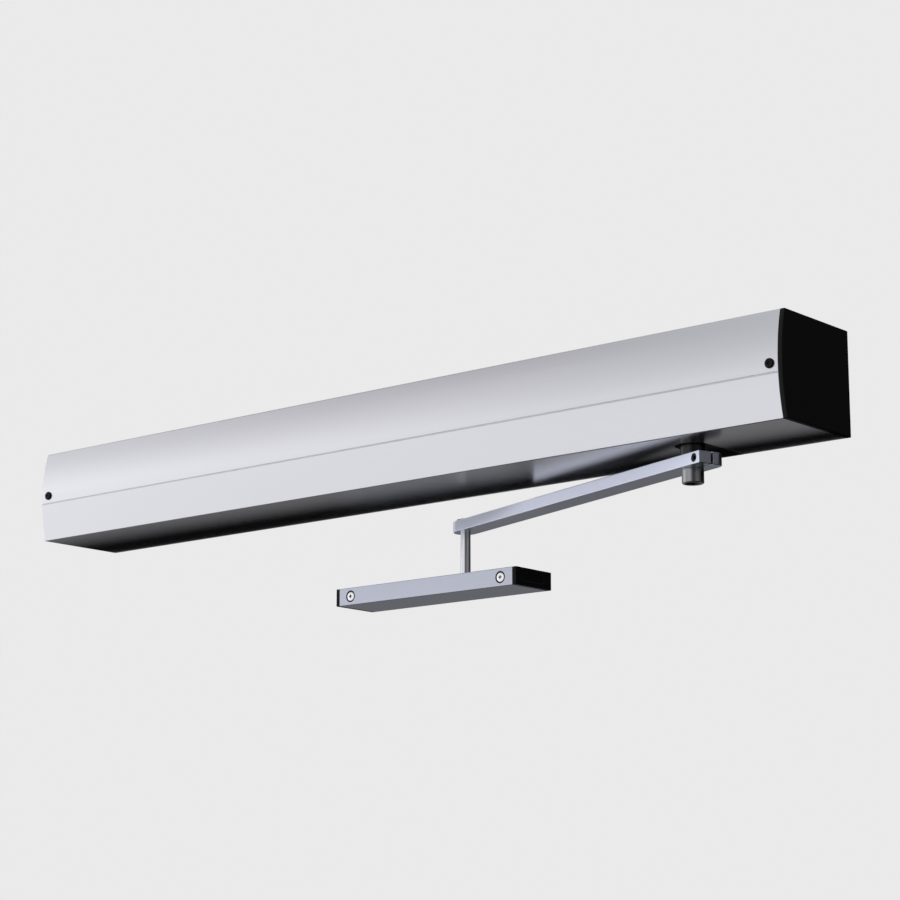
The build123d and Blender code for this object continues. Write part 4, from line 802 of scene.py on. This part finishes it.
# Guide rail: an extruded and anodised channel with a stop block in each end, closed by moulded black caps. A
# bright screw with a crossed recess, in a black washer ring, passes each block into the door leaf.
rail_aluminium = finish(
    "rail_aluminium", (0.55, 0.575, 0.65), rough=0.3, metal=1.0, stretch=(1, 30, 30), scale=80,
    depth_mm=0.006, spread=0.06, tone=0.04, edge=0.0005,
)
dress(rail_aluminium, "rail")
rail_cap_black = finish(
    "rail_cap_black", (0.006, 0.006, 0.007), rough=0.35, scale=160, depth_mm=0.3, spread=0.1, tone=0.1,
    edge=0.001, worn=grey(0.09), specular=0.12,
)
dress(rail_cap_black, "rail_left_cap", "rail_right_cap")
dress(part_black, "rail_blocks")
# The bright screws get painted shade in their crossed recesses, which darkens the colour there towards black.
bright_screw = finish(
    "bright_screw", (0.95, 0.955, 0.96), rough=0.24, metal=1.0, spread=0.05, tone=0.03, edge=0.0003,
    painted_shade_reach=0.003,
)
dress(bright_screw, "rail_screws")
low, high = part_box("rail_screws")
rail_head_radius = 0.0043
rail_head_height = 0.0016
rail_seats = screw_seats("rail_screws", rail_head_radius, rail_head_height)
rail_screws = grow(
    "rail_cross_screws", screw_tree, "rail_body", "bright_screw", rail_seats,
    Head_Radius=rail_head_radius, Head_Height=rail_head_height, Crown=0.35, Shank_Radius=0.0025,
    Length=high.y - low.y - rail_head_height, Cross_Length=0.0034, Cross_Width=0.0011, Cross_Depth=0.0012,
    Turn=to_room, Material=bright_screw,
)
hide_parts("rail_screws")
washer_tree, given, last = geometry_tree(
    "washers", ("Inner", "Float"), ("Outer", "Float"), ("Thickness", "Float"), ("Turn", "Vector")
)
whole_width = result(washer_tree, "ADD", given["Inner"], given["Outer"])
circle = node(
    washer_tree, "GeometryNodeCurvePrimitiveCircle", Resolution=40,
    Radius=result(washer_tree, "MULTIPLY", whole_width, 0.5),
)
section = node(
    washer_tree, "GeometryNodeCurvePrimitiveQuadrilateral",
    Width=result(washer_tree, "SUBTRACT", given["Outer"], given["Inner"]), Height=given["Thickness"],
)
washer = node(
    washer_tree, "GeometryNodeCurveToMesh", Curve=circle.outputs[0], Profile_Curve=section.outputs[0]
)
washers = node(
    washer_tree, "GeometryNodeInstanceOnPoints", Points=given["Geometry"], Instance=washer.outputs[0],
    Rotation=given["Turn"],
)
end_tree(washer_tree, washers.outputs[0], given["Material"], last)
washer_rise = 0.0006
grow(
    "rail_screw_washers", washer_tree, "rail_body", "part_black",
    [(x, y - washer_rise, z) for x, y, z in rail_seats], Inner=0.0044, Outer=0.0053, Thickness=0.001,
    Turn=to_room, Material=part_black,
)
